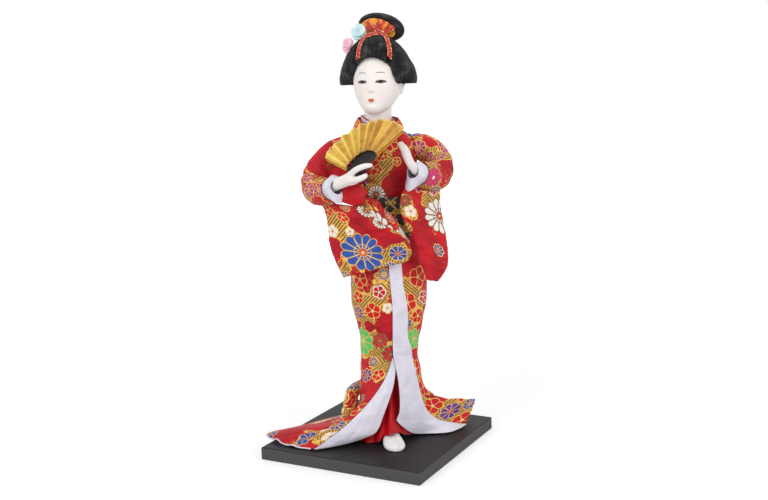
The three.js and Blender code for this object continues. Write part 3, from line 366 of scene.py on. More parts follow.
def shares(columns, rows, closed=False):
    """Shares across and down of a grid of so many cells."""
    count = columns if closed else columns + 1
    return np.broadcast_arrays(np.arange(count)[:, None] / columns, np.arange(rows + 1)[None, :] / rows)


def write_attribute(mesh, name, values, domain="POINT"):
    made = mesh.attributes.get(name) or mesh.attributes.new(name, "FLOAT_VECTOR", domain)
    made.data.foreach_set("vector", np.asarray(values, np.float32).ravel())


def vectors_in(data, field):
    values = np.zeros(len(data) * 3, np.float32)
    data.foreach_get(field, values)
    return values.reshape(-1, 3).astype(float)


def numbers_in(data, field):
    values = np.zeros(len(data), np.int32)
    data.foreach_get(field, values)
    return values


def vertices_of(piece):
    return vectors_in(piece.data.vertices, "co")


def set_vertices(piece, points):
    piece.data.vertices.foreach_set("co", np.asarray(points, np.float32).ravel())
    piece.data.update()


def bake(piece):
    """Makes the result of the piece's modifiers its plain mesh, and removes them."""
    graph = bpy.context.evaluated_depsgraph_get()
    mesh = bpy.data.meshes.new_from_object(piece.evaluated_get(graph))
    piece.modifiers.clear()
    piece.data = mesh
    return graph


def mesh_piece(name, points, faces, material, cloth=None, flat=None):
    """An object from points in metres. flat marks faces that are shaded flat."""
    mesh = bpy.data.meshes.new(name)
    mesh.from_pydata(np.asarray(points).tolist(), [], [list(map(int, f)) for f in faces])
    mesh.polygons.foreach_set("use_smooth", np.ones(len(mesh.polygons), bool))
    if flat is not None:
        mesh.polygons.foreach_set("use_smooth", ~np.asarray(flat, bool))
    if cloth is not None:
        write_attribute(mesh, "cloth", cloth)
    mesh.materials.append(material)
    mesh.update()
    made = bpy.data.objects.new(name, mesh)
    bpy.context.scene.collection.objects.link(made)
    return made


def outward(points, faces):
    """The faces, turned if need be so that the closed body they make faces out."""
    p = np.asarray(points, float)
    volume = 0.0
    for face in faces:
        for k in range(1, len(face) - 1):
            volume += np.dot(p[face[0]], np.cross(p[face[k]], p[face[k + 1]]))
    return faces if volume > 0 else [list(f)[::-1] for f in faces]


def full_turn(count):
    """Angles once round, as a column."""
    return 2 * np.pi * np.arange(count)[:, None] / count


def ring_body(grid):
    """A closed body with flat ends. The grid's first axis goes round, its second along."""
    sides, count = grid.shape[:2]
    points = grid.reshape(-1, 3)
    faces = grid_faces(sides, count, True).tolist()
    low = [i * count for i in range(sides)]
    faces += [low, [k + count - 1 for k in low][::-1]]
    return points, outward(points, faces), stack(points[:, 0], points[:, 2], 1.0)


def pole_body(grid, low, high):
    """A closed body whose ends run together in two points."""
    sides, count = grid.shape[:2]
    points = np.vstack([grid.reshape(-1, 3), [low, high]])
    faces = grid_faces(sides, count, True).tolist()
    low, high = sides * count, sides * count + 1
    for i in range(sides):
        k = (i + 1) % sides
        faces += [[low, i * count, k * count], [high, k * count + count - 1, i * count + count - 1]]
    return points, outward(points, faces), stack(points[:, 0], points[:, 2], 1.0)


def sheet_mesh(grid, thick, closed=False, mm=None, face_side=1):
    """Points, faces, cloth mm and flat flags of a sheet with thickness.
    face_side is 1 where the outside is along the grid's normal, -1 where it is against it."""
    n, m = grid.shape[:2]
    normal = grid_normals(grid, closed)
    thick = np.broadcast_to(thick, (n, m))[..., None]
    points = np.concatenate([
        (grid + normal * thick / 2).reshape(-1, 3), (grid - normal * thick / 2).reshape(-1, 3),
    ])
    across, down = arc_mm(grid) if mm is None else mm
    first = np.full((n, m), 1.0 if face_side > 0 else 0.0)
    cloth = np.concatenate([
        stack(across, down, first).reshape(-1, 3), stack(across, down, 1 - first).reshape(-1, 3),
    ])
    top = grid_faces(n, m, closed)
    size = n * m
    under = top[:, ::-1] + size
    ends = [*range(0, size, m)] + [0] * closed
    lines = [ends, [k + m - 1 for k in ends][::-1]]
    if not closed:
        lines += [range(m)[::-1], range(size - m, size)]
    rims = [[a, b, b + size, a + size] for line in lines for a, b in zip(line, line[1:])]
    faces = top.tolist() + under.tolist() + rims
    flat = np.arange(len(faces)) >= len(top) * 2
    return points, outward(points, faces), cloth, flat


def sheet_piece(name, grid, thick, material, closed=False, mm=None, face_side=1, place=from_figure):
    points, faces, cloth, flat = sheet_mesh(grid, thick, closed, mm, face_side)
    return mesh_piece(name, place(points), faces, material, cloth, flat)


def tube_mesh(path, stations, sides, steps, ripple=None):
    """A closed oval tube along a path; stations are [t, half width, half height].
    ripple(angle, mm along, t) adds mm to the radius. Returns points, faces, cloth mm."""
    centres, ahead = path_points(path, steps + 1)
    t = np.linspace(0, 1, steps + 1)
    side = normed(np.cross(ahead, (0, 0, 1)))
    up = np.cross(side, ahead)
    size = smooth(stations, t)
    along = np.concatenate([[0], np.cumsum(np.linalg.norm(np.diff(centres, axis=0), axis=1))])
    angle = full_turn(sides).T
    extra = 0.0
    if ripple is not None:
        extra = ripple(angle, along[:, None], t[:, None])
    wide = (size[:, 0:1] + extra) * np.cos(angle)
    high = (size[:, 1:2] + extra) * np.sin(angle)
    rings = centres[:, None] + side[:, None] * wide[..., None] + up[:, None] * high[..., None]
    points = rings.reshape(-1, 3)
    mean = (size[:, 0:1] + size[:, 1:2]) / 2
    turn = (angle + np.pi / 2) % (2 * np.pi) - np.pi
    cloth = stack(mean * turn, along[:, None], 1.0).reshape(-1, 3)
    first = list(range(sides))
    last = [steps * sides + j for j in first]
    faces = [
        [i * sides + a, i * sides + b, (i + 1) * sides + b, (i + 1) * sides + a]
        for i in range(steps) for a, b in zip(first, first[1:] + [0])
    ]
    faces += [first[::-1], last]
    return points, outward(points, faces), cloth


def merged(parts):
    """One set of points, faces and cloth mm from several."""
    points, faces, cloth, start = [], [], [], 0
    for p, f, c in parts:
        points.append(p)
        cloth.append(c)
        faces += [[k + start for k in face] for face in f]
        start += len(p)
    return np.concatenate(points), faces, np.concatenate(cloth)


# Metres from a cut's wall, and the sizes in mm of the faces of each kind of skin
AT_WALL = 5e-5
SLEEVE_FACE = 0.75
HAND_FACE = 0.32
HEAD_FACE = 0.4
HAIR_FACE = 0.42


def remeshed(name, parts, voxel, rounds, material, place=from_figure, cuts=(), keep=None, plain=False):
    """Parts in mm, fused into one skin of even small faces, smoothed and cut.
    Each point takes its cloth mm from the nearest face of the parts; a cut's wall has side 0.
    A plain one is cut before it is smoothed, which rounds its edges, and has no cloth mm."""
    points, faces, cloth = merged(parts)
    points = place(points)
    made = mesh_piece(name, points, faces, material)
    cutters = []

    def fuse():
        melt = made.modifiers.new("fuse", "REMESH")
        melt.mode = "VOXEL"
        melt.voxel_size = voxel / 1000
        melt.adaptivity = 0

    def cut():
        both = [(part, "DIFFERENCE") for part in cuts] + ([(keep, "INTERSECT")] if keep else [])
        for (cut_points, cut_faces, _), operation in both:
            cutter = mesh_piece("cutter", place(cut_points), cut_faces, material)
            take = made.modifiers.new("take", "BOOLEAN")
            take.operation = operation
            take.solver = "MANIFOLD"
            take.object = cutter
            cutters.append(cutter)

    fuse()
    if plain:
        cut()
        fuse()
    if rounds:
        soften = made.modifiers.new("soften", "SMOOTH")
        soften.factor = 0.5
        soften.iterations = rounds
    if not plain:
        cut()
    graph = bake(made)
    skin = made.data
    skin.polygons.foreach_set("use_smooth", np.ones(len(skin.polygons), bool))
    if not skin.materials:
        skin.materials.append(material)
    if plain:
        for cutter in cutters:
            bpy.data.objects.remove(cutter)
        return made
    source = BVHTree.FromPolygons([Vector(p) for p in points], faces)
    walls = [BVHTree.FromObject(cutter, graph) for cutter in cutters]
    values = np.zeros((len(skin.vertices), 3))
    for k, vertex in enumerate(skin.vertices):
        near, _, index, _ = source.find_nearest(vertex.co)
        corners = faces[index]
        weights = poly_3d_calc([Vector(points[c]) for c in corners], near)
        values[k] = np.dot(weights, cloth[corners])
        if any(wall.find_nearest(vertex.co)[3] < AT_WALL for wall in walls):
            values[k, 2] = 0
    write_attribute(skin, "cloth", values)
    for cutter in cutters:
        bpy.data.objects.remove(cutter)
    return made


def settle(piece, body, slot, *nodes):
    """The piece rides on a body and stands for these nodes, which it hides. slot is not used."""
    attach(piece, body)
    if nodes:
        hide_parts(*nodes)
    return piece


# Brocade: a red ground, scalloped clouds of gold thread and woven flowers
GOLD = srgb(238, 190, 94)
GOLD_DARK = srgb(130, 84, 38)
RED = srgb(206, 16, 32)
RED_DEEP = srgb(170, 4, 22)
SCARLET = srgb(210, 18, 30)
BLUE = srgb(46, 84, 168)
PURPLE = srgb(104, 58, 150)
MAGENTA = srgb(172, 36, 122)
ROSE = srgb(216, 62, 96)
GREEN = srgb(84, 204, 104)
LEAF = srgb(66, 122, 70)
WHITE = srgb(242, 237, 228)
ORANGE = srgb(228, 96, 40)
CREAM = srgb(236, 214, 150)

# Woven flowers: petals, then the colours of petal, inner petal, heart and outline
FLOWERS = {
    "great": (12, BLUE, BLUE, ORANGE, GOLD),
    "plum": (5, SCARLET, SCARLET, CREAM, GOLD),
    "white_plum": (5, WHITE, WHITE, RED, GOLD),
    "ringed_plum": (5, SCARLET, RED_DEEP, CREAM, WHITE),
    "magenta": (9, MAGENTA, MAGENTA, ROSE, GOLD),
    "rose": (8, ROSE, ROSE, WHITE, MAGENTA),
    "purple": (8, PURPLE, PURPLE, RED, GOLD),
    "iris": (8, BLUE, PURPLE, RED, GOLD),
    "green": (9, GREEN, GREEN, CREAM, GOLD),
    "leafy": (8, RED, RED, RED, LEAF),
    "white": (14, WHITE, WHITE, RED, GOLD_DARK),
}
KINDS = list(FLOWERS)
CHANCE = ["plum", "white_plum", "ringed_plum", "magenta", "purple", "iris", "plum", "leafy", "plum", "iris"]


def brocade():
    """The pattern reads the piece's own attributes, which weave() writes."""
    look = Look("kimono_brocade", Specular_IOR_Level=0.3)
    across, along, place = look.cloth_mm()
    face = look.attribute("cloth")[2]
    gilding, red_only, _ = look.attribute("gilding")
    centre_x, centre_y, radius = look.attribute("flower")
    kind, turn, petals = look.attribute("flower_form")
    # Ground: red twill with sprigs, and clouds with a bright outline and hatching
    scallop = look.add("ShaderNodeTexVoronoi", None, {"Vector": place, "Scale": 0.19})
    drift = gilding + (0.5 - scallop) * 0.42
    cloud = look.step(drift, 0.49, 0.515)
    rim = look.near(drift - 0.505, 0.045, 0.03)
    patch = look.add("ShaderNodeTexVoronoi", None, {"Vector": place, "Scale": 0.05}, 1)
    chance, _, _ = look.split(patch)
    rise = look.step(((across + along) * 2.4).sin(), -0.5, 0.4)
    fall = look.step(((across - along) * 2.5).sin(), -0.5, 0.4)
    grain = look.step(look.noise(place, 1.1, 3, 0.7), 0.42, 0.55)
    hatch = look.add("ShaderNodeMix", None, {0: look.step(chance, 0.4, 0.42), 2: rise, 3: fall})
    hatch = hatch * (grain * 0.5 + 0.5)
    gold_cloth = look.blend(hatch, GOLD_DARK, GOLD)
    vine = look.noise(place, 0.15, 1, 0.4, 1.6)
    sprig = look.near(vine - 0.5, 0.014, 0.007) * look.step(gilding, 0.22, 0.3) * (1 - red_only)
    red = look.blend(look.step(look.noise(place, 0.05, 1), 0.35, 0.65), RED_DEEP, RED)
    color = look.blend(cloud, look.blend(sprig, red, GOLD), gold_cloth)
    color = look.blend(rim, color, GOLD)
    metal = (cloud * hatch).most(rim).most(sprig)
    # The flower whose round this face is in
    dx = across - centre_x
    dy = along - centre_y
    r = (dx * dx + dy * dy).root() / radius
    angle = dy.math("ARCTAN2", dx) + turn
    lobe = abs((angle * petals * 0.5).cos())
    outline = (lobe ** 0.5) * 0.32 + 0.68
    beyond = (r - outline) * radius
    inside = look.step(beyond, 0.1, -0.1)
    edge = look.step(beyond, 0.75, 0.6)
    thread_mm = radius * 0.014 + 0.18
    vein = look.step(lobe * r * radius / petals * 2 - thread_mm, 0.08, -0.06)
    ring = look.step(abs(r - (0.3 + lobe * 0.12)) * radius - thread_mm * 0.7, 0.06, -0.06)
    heart = look.step(r, 0.2, 0.18)
    dot = look.step(r, 0.09, 0.07)
    tints = []
    for column in range(1, 5):
        stops = [(k / len(KINDS), row[column]) for k, row in enumerate(FLOWERS.values())]
        tints.append(look.add("ShaderNodeValToRGB", {"held_stops": stops}, [kind]))
    ring = ring * look.step(radius, 8, 10)
    thread = vein.most(ring) * inside * (1 - heart)
    color = look.blend(edge, color, tints[3])
    color = look.blend(inside, color, look.blend(look.step(r, 0.44, 0.42), tints[0], tints[1]))
    color = look.blend(thread, color, tints[3])
    color = look.blend(heart, color, tints[2])
    color = look.blend(dot, color, CREAM)
    metal = metal * (1 - edge) + (edge * (1 - inside)).most(thread) * 0.9
    twill = ((across * 0.8 + along) * 9.5).sin()
    color = look.blend(look.step(twill, -1, 1) * 0.1, color, srgb(60, 6, 12))
    color = look.blend(face, RED_DEEP, color)
    metal = metal * face
    raised = metal * 0.5 + inside * 0.25 + twill * 0.06 + look.noise(place, 2.2, 3) * 0.12
    slant = look.join(across * 0.08 + along * 0.05, along * 0.13 - across * 0.05, 5.0)
    crease = look.noise(slant, 1.0, 2, 0.4)
    return look.finished(color, 0.58 - metal * 0.16, raised + crease * 14, 0.00022, metal * 0.3)


def scatter(listed, bare, low, high, seed):
    """Listed flowers, then chance ones in the free room between two corners of the cloth.
    Rows are kind, across, along, radius; no chance flower comes into a bare round."""
    chance = np.random.default_rng(int(seed * 10))
    rows = [(KINDS.index(kind), u, v, r) for kind, u, v, r in listed]
    taken = [row[1:] for row in rows] + [row[:3] for row in bare]
    room = (high[0] - low[0]) * (high[1] - low[1])
    for radius, share in ((7, 0.4), (5.4, 0.5), (4.3, 0.4), (3.2, 0.22)):
        for _ in range(int(room / radius**2 * share)):
            u, v = chance.uniform(low, high)
            pick = chance.integers(len(CHANCE))
            if all(math.hypot(u - x, v - y) > r + radius + 1.2 for x, y, r in taken):
                rows.append((KINDS.index(CHANCE[pick]), u, v, radius))
                taken.append((u, v, radius))
    return rows


def face_means(mesh, values):
    corners = numbers_in(mesh.loops, "vertex_index")
    starts, counts = (numbers_in(mesh.polygons, field) for field in ("loop_start", "loop_total"))
    return np.add.reduceat(values[corners], starts, axis=0) / counts[:, None]


def weave(piece, listed=(), bare=(), clouds=(), seed=0):
    """Plans the brocade of a piece, in its own cloth mm. clouds are across, along, radius,
    share of gold added; bare rounds stay plain red, so nothing is drawn there."""
    mesh = piece.data
    cloth = vectors_in(mesh.attributes["cloth"].data, "vector")
    u, v = cloth[:, 0], cloth[:, 1]

    def spot(x, y, r):
        return np.exp(-((u - x) ** 2 + (v - y) ** 2) / r**2)

    rows = scatter(listed, bare, cloth[:, :2].min(0), cloth[:, :2].max(0), seed)
    gold = 0.15 + 0.32 * wrinkles(u * 0.8, v * 0.8, seed)
    for k, (kind, x, y, r) in enumerate(rows):
        share = 0.34 if k % 3 else 0.1
        gold = gold + share * spot(x, y, 1.55 * r)
    for x, y, r, share in clouds:
        gold = gold + share * spot(x, y, r)
    plain = np.zeros(len(u))
    for x, y, r in bare:
        inside = np.exp(-(((u - x) ** 2 + (v - y) ** 2) / r**2) ** 2)
        plain = np.maximum(plain, inside)
        gold = gold - 0.9 * inside
    write_attribute(mesh, "gilding", stack(gold, plain, 0))
    centres = face_means(mesh, cloth)
    table = np.array(rows, float)
    turns = np.arange(len(rows)) * 0.7 % 3
    petals = np.array([FLOWERS[KINDS[row[0]]][0] for row in rows], float)
    nearest = np.zeros(len(centres), int)
    for start in range(0, len(centres), 20000):
        part = centres[start:start + 20000]
        away = np.hypot(part[:, 0:1] - table[:, 1], part[:, 1:2] - table[:, 2]) / table[:, 3]
        nearest[start:start + 20000] = away.argmin(1)
    forms = stack((table[:, 0] + 0.5) / len(KINDS), turns, petals)
    write_attribute(mesh, "flower", table[nearest, 1:], "FACE")
    write_attribute(mesh, "flower_form", forms[nearest], "FACE")


BROCADE = brocade()


def satin(name, color, shade, rough=0.38, sheen=0.3):
    look = Look(name, Sheen_Weight=sheen, Sheen_Roughness=0.3, Specular_IOR_Level=0.2 + sheen)
    across, along, place = look.cloth_mm()
    streak = look.noise(look.join(across * 6, along * 0.7, 0.0), 1.0, 3, 0.6)
    crease_shade = look.noise(place, 0.12, 3, 0.55, 0.4)
    # Painted shade: the colour goes toward the darker shade colour in soft patches that follow the crease
    # bump, and faintly along the streaks
    color = look.blend(look.step(crease_shade, 0.3, 0.75) * 0.5 + streak * 0.2, color, shade)
    threads = (across * 11).sin() * (along * 11).sin()
    raised = crease_shade * 1.4 + streak * 0.2 + threads * 0.05
    return look.finished(color, rough + streak * 0.14, raised, 0.00035)


WHITE_SATIN = satin("white_satin", srgb(230, 226, 236), srgb(198, 193, 214))
RED_SATIN = satin("red_satin", srgb(198, 0, 18), srgb(150, 0, 10), 0.33, sheen=0.08)


def surface_mm2(grid, closed=False):
    """Area of a grid of points, in square mm."""
    g = np.concatenate([grid, grid[:1]]) if closed else grid
    a, b = g[1:, 1:] - g[:-1, :-1], g[1:, :-1] - g[:-1, 1:]
    return np.linalg.norm(np.cross(a, b), axis=-1).sum() / 2


def declare(grid, closed=False):
    """Measures the cloth a sheet was cut from, which its grid gives; the sizes are not kept.
    A long strip that widens only at its foot is measured by its mean width."""
    across, down = arc_mm(np.concatenate([grid, grid[:1]]) if closed else grid)
    width, length = across.max() / 1000, down.max() / 1000
    area = surface_mm2(grid, closed) / 1e6
    if area < 0.31 * width * length:
        width = area / length


def wrinkles(u, v, seed=0.0):
    """Soft uneven waves of about 1 mm, for cloth that hangs."""
    bend = np.sin(0.13 * v + 1.3 * np.sin(0.05 * u + seed))
    return (
        0.5 * np.sin(0.23 * u + 1.7 * bend + seed)
        + 0.3 * np.sin(0.41 * v + 0.9 * np.sin(0.17 * u + seed * 2))
        + 0.2 * np.sin(0.61 * u - 0.37 * v + seed * 3)
    )


# Tables of the body and the dress. Rows are z, half width, half depth, centre x, centre y
CORE = [
    [58, 11.5, 10.5, 0.5, 0], [85, 17, 14, 0.8, 0], [110, 21, 16.5, 1, 0], [130, 19, 14.6, 1.2, 0],
    [150, 16.5, 12.6, 1.5, 0], [170, 17, 13, 1.5, 0], [190, 20, 13.6, 1.2, 0], [202, 20.6, 12.6, 0.3, 0],
    [208, 17.4, 11.2, -1.2, 0], [213, 10.6, 9.8, -2.7, 0],
]
CORE_TOP = 213
WAIST_Z = 157
KNEE_Z = 58
HEM_Z = 0.9

# Feet. Rows are t from toe to heel, half width share, height share, sideways share
FOOT_LENGTH = 38
FOOT_WIDTH = 14.5
FOOT_HEIGHT = 8.5
SOLE = 0.55
FOOT_FORM = [
    [0, 0.28, 0.3, 0.1], [0.06, 0.74, 0.46, 0.06], [0.2, 0.98, 0.62, 0.02], [0.4, 0.9, 0.86, 0],
    [0.62, 0.72, 1, 0], [0.85, 0.66, 0.98, 0], [1, 0.42, 0.9, 0],
]
FEET = {"right": ((2.6, -42.6), 8, 1), "left": ((11.5, -9), 5, -1)}


def cotton_look():
    look = Look("sock_cotton", Sheen_Weight=0.3)
    x, y, z, place = look.figure_mm()
    soft = look.noise(place, 0.4, 3)
    color = look.blend(soft, srgb(246, 243, 240), srgb(222, 219, 220))
    threads = (x * 9).sin() * (y * 9 + z * 5).sin()
    return look.finished(color, 0.6 + soft * 0.2, threads * 0.3 + soft, 0.0001)


def foot(name):
    (toe_x, toe_y), turn, side = FEET[name]
    t = np.linspace(0, 1, 60) ** 1.3
    form = smooth(FOOT_FORM, t)
    angle = full_turn(48)
    lift = np.maximum(np.sin(angle), -SOLE)
    toe_groove = 0.5 * hump(np.cos(angle), side * 0.4, 0.16) * (lift > 0)
    toe_groove = toe_groove * np.clip(1 - t / 0.3, 0, 1) ** 0.5
    high = form[:, 1] * (lift + SOLE) / (1 + SOLE) * (1 - toe_groove)
    wide = form[:, 0] * np.cos(angle) + side * form[:, 2]
    rings = stack(FOOT_WIDTH / 2 * wide, FOOT_LENGTH * t, CLEAR + FOOT_HEIGHT * high)
    points, faces, _ = ring_body(turn_about_z(rings, turn) + np.array((toe_x, toe_y, 0)))
    made = mesh_piece(f"{name}_sock", from_figure(points), faces, TABI)
    settle(made, "doll", "tabi", f"{name}_foot")


TABI = cotton_look()
for side_name in FEET:
    foot(side_name)


def foot_top(x, y, name):
    """Height over the board that clears a foot, in mm."""
    (toe_x, toe_y), turn, _ = FEET[name]
    local = turn_about_z(stack(x - toe_x, y - toe_y, 0), -turn)
    form = smooth(FOOT_FORM, np.clip(local[..., 1] / FOOT_LENGTH, 0, 1))
    beside = np.abs(local[..., 0]) / (FOOT_WIDTH / 2 * form[..., 0] + 1.2)
    inside = (local[..., 1] > -1) & (local[..., 1] < FOOT_LENGTH + 1) & (beside < 1)
    top = CLEAR + FOOT_HEIGHT * form[..., 1] * (np.sqrt(np.clip(1 - beside**2, 0, 1)) + SOLE) / (1 + SOLE)
    return np.where(inside, top + 1.0, 0.0)


# Red satin underskirt. Rows are share round, degrees, hem x, y, z, straight share, flare power
RED_TOP = 118
RED_KNEE = 60
RED_SPLIT = 0.4
RED_TUBE = [
    [60, 13.4, 12.2, 0.5, 0], [85, 18.3, 15.2, 0.8, 0], [110, 22.2, 17.8, 1, 0], [118, 21.8, 17.2, 1.1, 0],
]
RED_HEM = [
    [0, 0, 1, -33, 10, 0.2, 4], [0.08, 30, -11.5, -25.5, 1, 0.25, 3], [0.17, 60, -22, -18, HEM_Z, 0.25, 3],
    [0.3, 105, -20, 3, HEM_Z, 0.3, 3], [0.42, 150, -9, 22, HEM_Z, 0.3, 3],
    [0.56, 200, 11, 27, HEM_Z, 0.3, 3], [0.72, 255, 22, 8, HEM_Z, 0.3, 3],
    [0.84, 300, 16.5, -9, HEM_Z, 0.3, 3], [0.93, 335, 10, -18, 4, 0.25, 3.5], [1, 360, 1, -33, 10, 0.2, 4],
]


def red_skirt(share, down):
    row = smooth(RED_HEM, share)
    degrees, x, y, z, straight, power = (row[..., k] for k in range(6))
    tube = around(RED_TUBE, mix(RED_TOP, RED_KNEE, np.minimum(down / RED_SPLIT, 1)), degrees)
    low = np.clip((down - RED_SPLIT) / (1 - RED_SPLIT), 0, 1)
    drop = 1 - (1 - low) ** 1.3
    out = straight * drop + (1 - straight) * drop**power
    pleat = 0.9 * np.sin(16 * np.pi * 2 * share + 3 * np.sin(9 * share)) * drop
    a = np.radians(degrees)
    px = mix(tube[..., 0], x, out) - pleat * np.sin(a)
    py = mix(tube[..., 1], y, out) - pleat * np.cos(a)
    pz = np.where(down <= RED_SPLIT, tube[..., 2], mix(RED_KNEE, z, drop))
    pz = np.maximum(pz, np.maximum(foot_top(px, py, "right"), foot_top(px, py, "left")))
    return stack(px, py, pz)


grid = red_skirt(*shares(220, 90, True))
red = sheet_piece("red_skirt", grid, 0.6, RED_SATIN, closed=True, face_side=1)
settle(red, "doll", "red_satin", "red_underskirt")
declare(grid, closed=True)

# Kimono skirt: an oval tube to the knee, then a train from the front folds round the back
SKIRT_TUBE = [
    [58, 19.2, 17.2, 0.4, 0], [67, 19.8, 17.4, 0.7, 0], [75, 21, 17.9, 1.1, 0], [86, 23.9, 19, 1, 0],
    [95, 25.2, 19.8, 1, 0], [110, 25.6, 20, 1, 0], [125, 24, 18.9, 1.2, 0], [141, 19, 15, 1.4, 0],
    [157, 17.6, 13.7, 1.5, 0],
]
LEFT_FOLD = -5
BAND_EDGE = [[58, 44], [65, 36], [73, 28], [87, 25], [100, 21], [110, 17], [157, 15]]
TRAIN = [
    [0, -5, -52.5, -34.4, HEM_Z, 0.3, 2.25], [0.08, 25, -65.5, -28.5, HEM_Z, 0.22, 3.6],
    [0.17, 52, -79, -17.5, HEM_Z + 0.3, 0.12, 10], [0.25, 78, -86, -7, 3.2, 0.08, 14],
    [0.34, 108, -66, 12, 1.6, 0.08, 12], [0.45, 142, -38, 34, HEM_Z, 0.16, 4.6],
    [0.57, 180, 2, 47, HEM_Z, 0.22, 3.2], [0.69, 216, 37, 38, HEM_Z, 0.18, 4.6],
    [0.8, 250, 54, 25, 6, 0.1, 8], [0.88, 278, 60, 13.5, 17, 0.12, 8],
    [0.94, 298, 56, 11, 7, 0.2, 8], [1, 316, 52.3, 8, HEM_Z, 0.3, 8],
]
SKIRT_SPLIT = 0.45
SKIRT_EASE = 1.7
SKIRT_FOLD = 8.8
CLOTH = 0.9
SATIN = 0.7


def skirt(share, down):
    share, down = np.broadcast_arrays(np.asarray(share, float), np.asarray(down, float))
    row = smooth(TRAIN, share)
    degrees, x, y, z, straight, power = (row[..., k] for k in range(6))
    height = mix(WAIST_Z, KNEE_Z, np.minimum(down / SKIRT_SPLIT, 1))
    edge = smooth(BAND_EDGE, height)[..., 0]
    reach = (360 - edge - LEFT_FOLD) / (TRAIN[-1][1] - LEFT_FOLD)
    tube = around(SKIRT_TUBE, height, LEFT_FOLD + (degrees - LEFT_FOLD) * reach)
    low = np.clip((down - SKIRT_SPLIT) / (1 - SKIRT_SPLIT), 0, 1)
    drop = 1 - (1 - low) ** SKIRT_EASE
    out = straight * drop + (1 - straight) * drop**power
    wave = np.sin(9 * np.pi * share) * np.sin(np.pi * share) ** 2
    fold = SKIRT_FOLD * wave * out * (1 - out)
    z = z + 1.8 * hump(share, 0.165, 0.018) + 0.8 * hump(share, 0.09, 0.015)
    pz = np.where(down <= SKIRT_SPLIT, tube[..., 2], mix(KNEE_Z, z, drop))
    return stack(mix(tube[..., 0], x, out) + fold, mix(tube[..., 1], y, out) + fold, pz)


BACK_MM = 300


def skirt_mm(grid):
    """Cloth mm from the nearer front edge, so that the seam is at the back. The left edge is at BACK_MM."""
    across, down = arc_mm(grid)
    half = len(grid) // 2
    back = across - across[-1:]
    return np.where(np.arange(len(grid))[:, None] < half, across, back + BACK_MM), down


share, down = shares(280, 170)
grid = skirt(share, down)
u, v = skirt_mm(grid)
edge_fade = np.minimum(1, np.minimum(share, 1 - share) / 0.06)
settled = np.clip((grid[..., 2] - 2.5) / 8, 0, 1)
grid = grid + grid_normals(grid, False) * (0.55 * wrinkles(u, v) * edge_fade * settled)[..., None]
kimono = sheet_piece("kimono_skirt_cloth", grid, CLOTH, BROCADE, mm=(u, v))
settle(kimono, "doll", "brocade", "kimono_skirt")
weave(kimono, [
    ("great", 5.2, 41.3, 3.8), ("ringed_plum", 8.7, 53.4, 4.2), ("plum", 13.6, 66.7, 5.4),
    ("white_plum", 3.4, 64.4, 3.4), ("green", 23.5, 90.6, 9.6), ("leafy", 8.6, 88, 5),
    ("purple", 14.6, 113.8, 4.6), ("plum", 5.4, 112, 3.8), ("plum", 25, 58.5, 4.2),
    ("iris", 33.7, 48.3, 3.6), ("ringed_plum", 282.5, 60.3, 4.4), ("plum", 289.5, 72.5, 5),
    ("green", 292.4, 89.2, 7.6), ("iris", 17.5, 180.1, 7.2), ("iris", 5.8, 157.1, 5),
    ("iris", 61.7, 164, 5.4), ("purple", 292, 159, 6.8), ("iris", 284.4, 168.9, 4.4),
    ("iris", 12, 131, 3.2), ("white_plum", 35, 68, 3.6),
], bare=[
    (297, 30, 9), (294, 16, 10), (4.5, 79, 6.5), (17, 78, 3.5), (7, 123.5, 4.5), (30, 104, 4),
    (50, 187, 12), (30, 192, 7), (36, 172, 7), (8, 184, 5),
], clouds=[
    (10, 101, 8, 0.6), (12, 56, 12, 0.4), (295, 52, 6, 0.5), (31, 56, 8, 0.4), (18, 180, 9, 0.4),
    (290, 160, 13, 0.6), (298, 80, 5, 0.3),
], seed=3)
declare(grid)

# White lining turned out along the front edges. Rows are share down, x, y, z
APEX = [0, 2.6, -18.1, 57.5]
LEFT_FREE = [
    APEX, [0.1, 4.1, -18.5, 53], [0.26, 2.3, -21, 40], [0.4, -1.3, -23.4, 29.6], [0.5, -4.8, -25, 21],
    [0.62, -9.5, -27, 10.4], [0.7, -14.5, -27.8, 7], [0.8, -27.4, -28.6, 3], [0.9, -40, -32, 1.6],
    [1, -51.5, -35.4, 1.2],
]
FACING_GAP = (1.0 + 0.8) / 2 + CLEAR
BAND_TOP = 136
BAND_TURN = 0.52
BAND_CORNER = 0.87
BAND_FREE = [
    [0, 1.2, -20, BAND_TOP], [0.12, 1.6, -20, 119], [0.3, 3, -20, 93], [0.42, 2.7, -19.6, 77],
    [BAND_TURN, 2.5, -19.4, 62], [0.62, 5.1, -20.9, 47], [0.72, 6.3, -22, 34.5], [0.82, 6, -23.6, 22],
    [BAND_CORNER, 3.6, -24.4, 16],
]
BAND_HEM = [
    [0, 3.6, -24.4, 16], [0.1, 6.8, -22.6, 11.5], [0.25, 13.5, -16.5, 4.4], [0.5, 22.5, -11, 1.4],
    [0.75, 39.3, -9.6, 1.2], [0.9, 48, -2, 1.2], [1, 53.6, 6.6, 1.3],
]


def left_facing(share, down):
    free = smooth(LEFT_FREE, down)
    fold = skirt(0, mix(SKIRT_SPLIT, 1, down))
    under = fold + np.array((0.2, -FACING_GAP, 0.35))
    line = under + (free - under) * share[..., None]
    line[..., 1] -= 1.2 * np.sin(np.pi * share) * np.sin(np.pi * down)
    return line


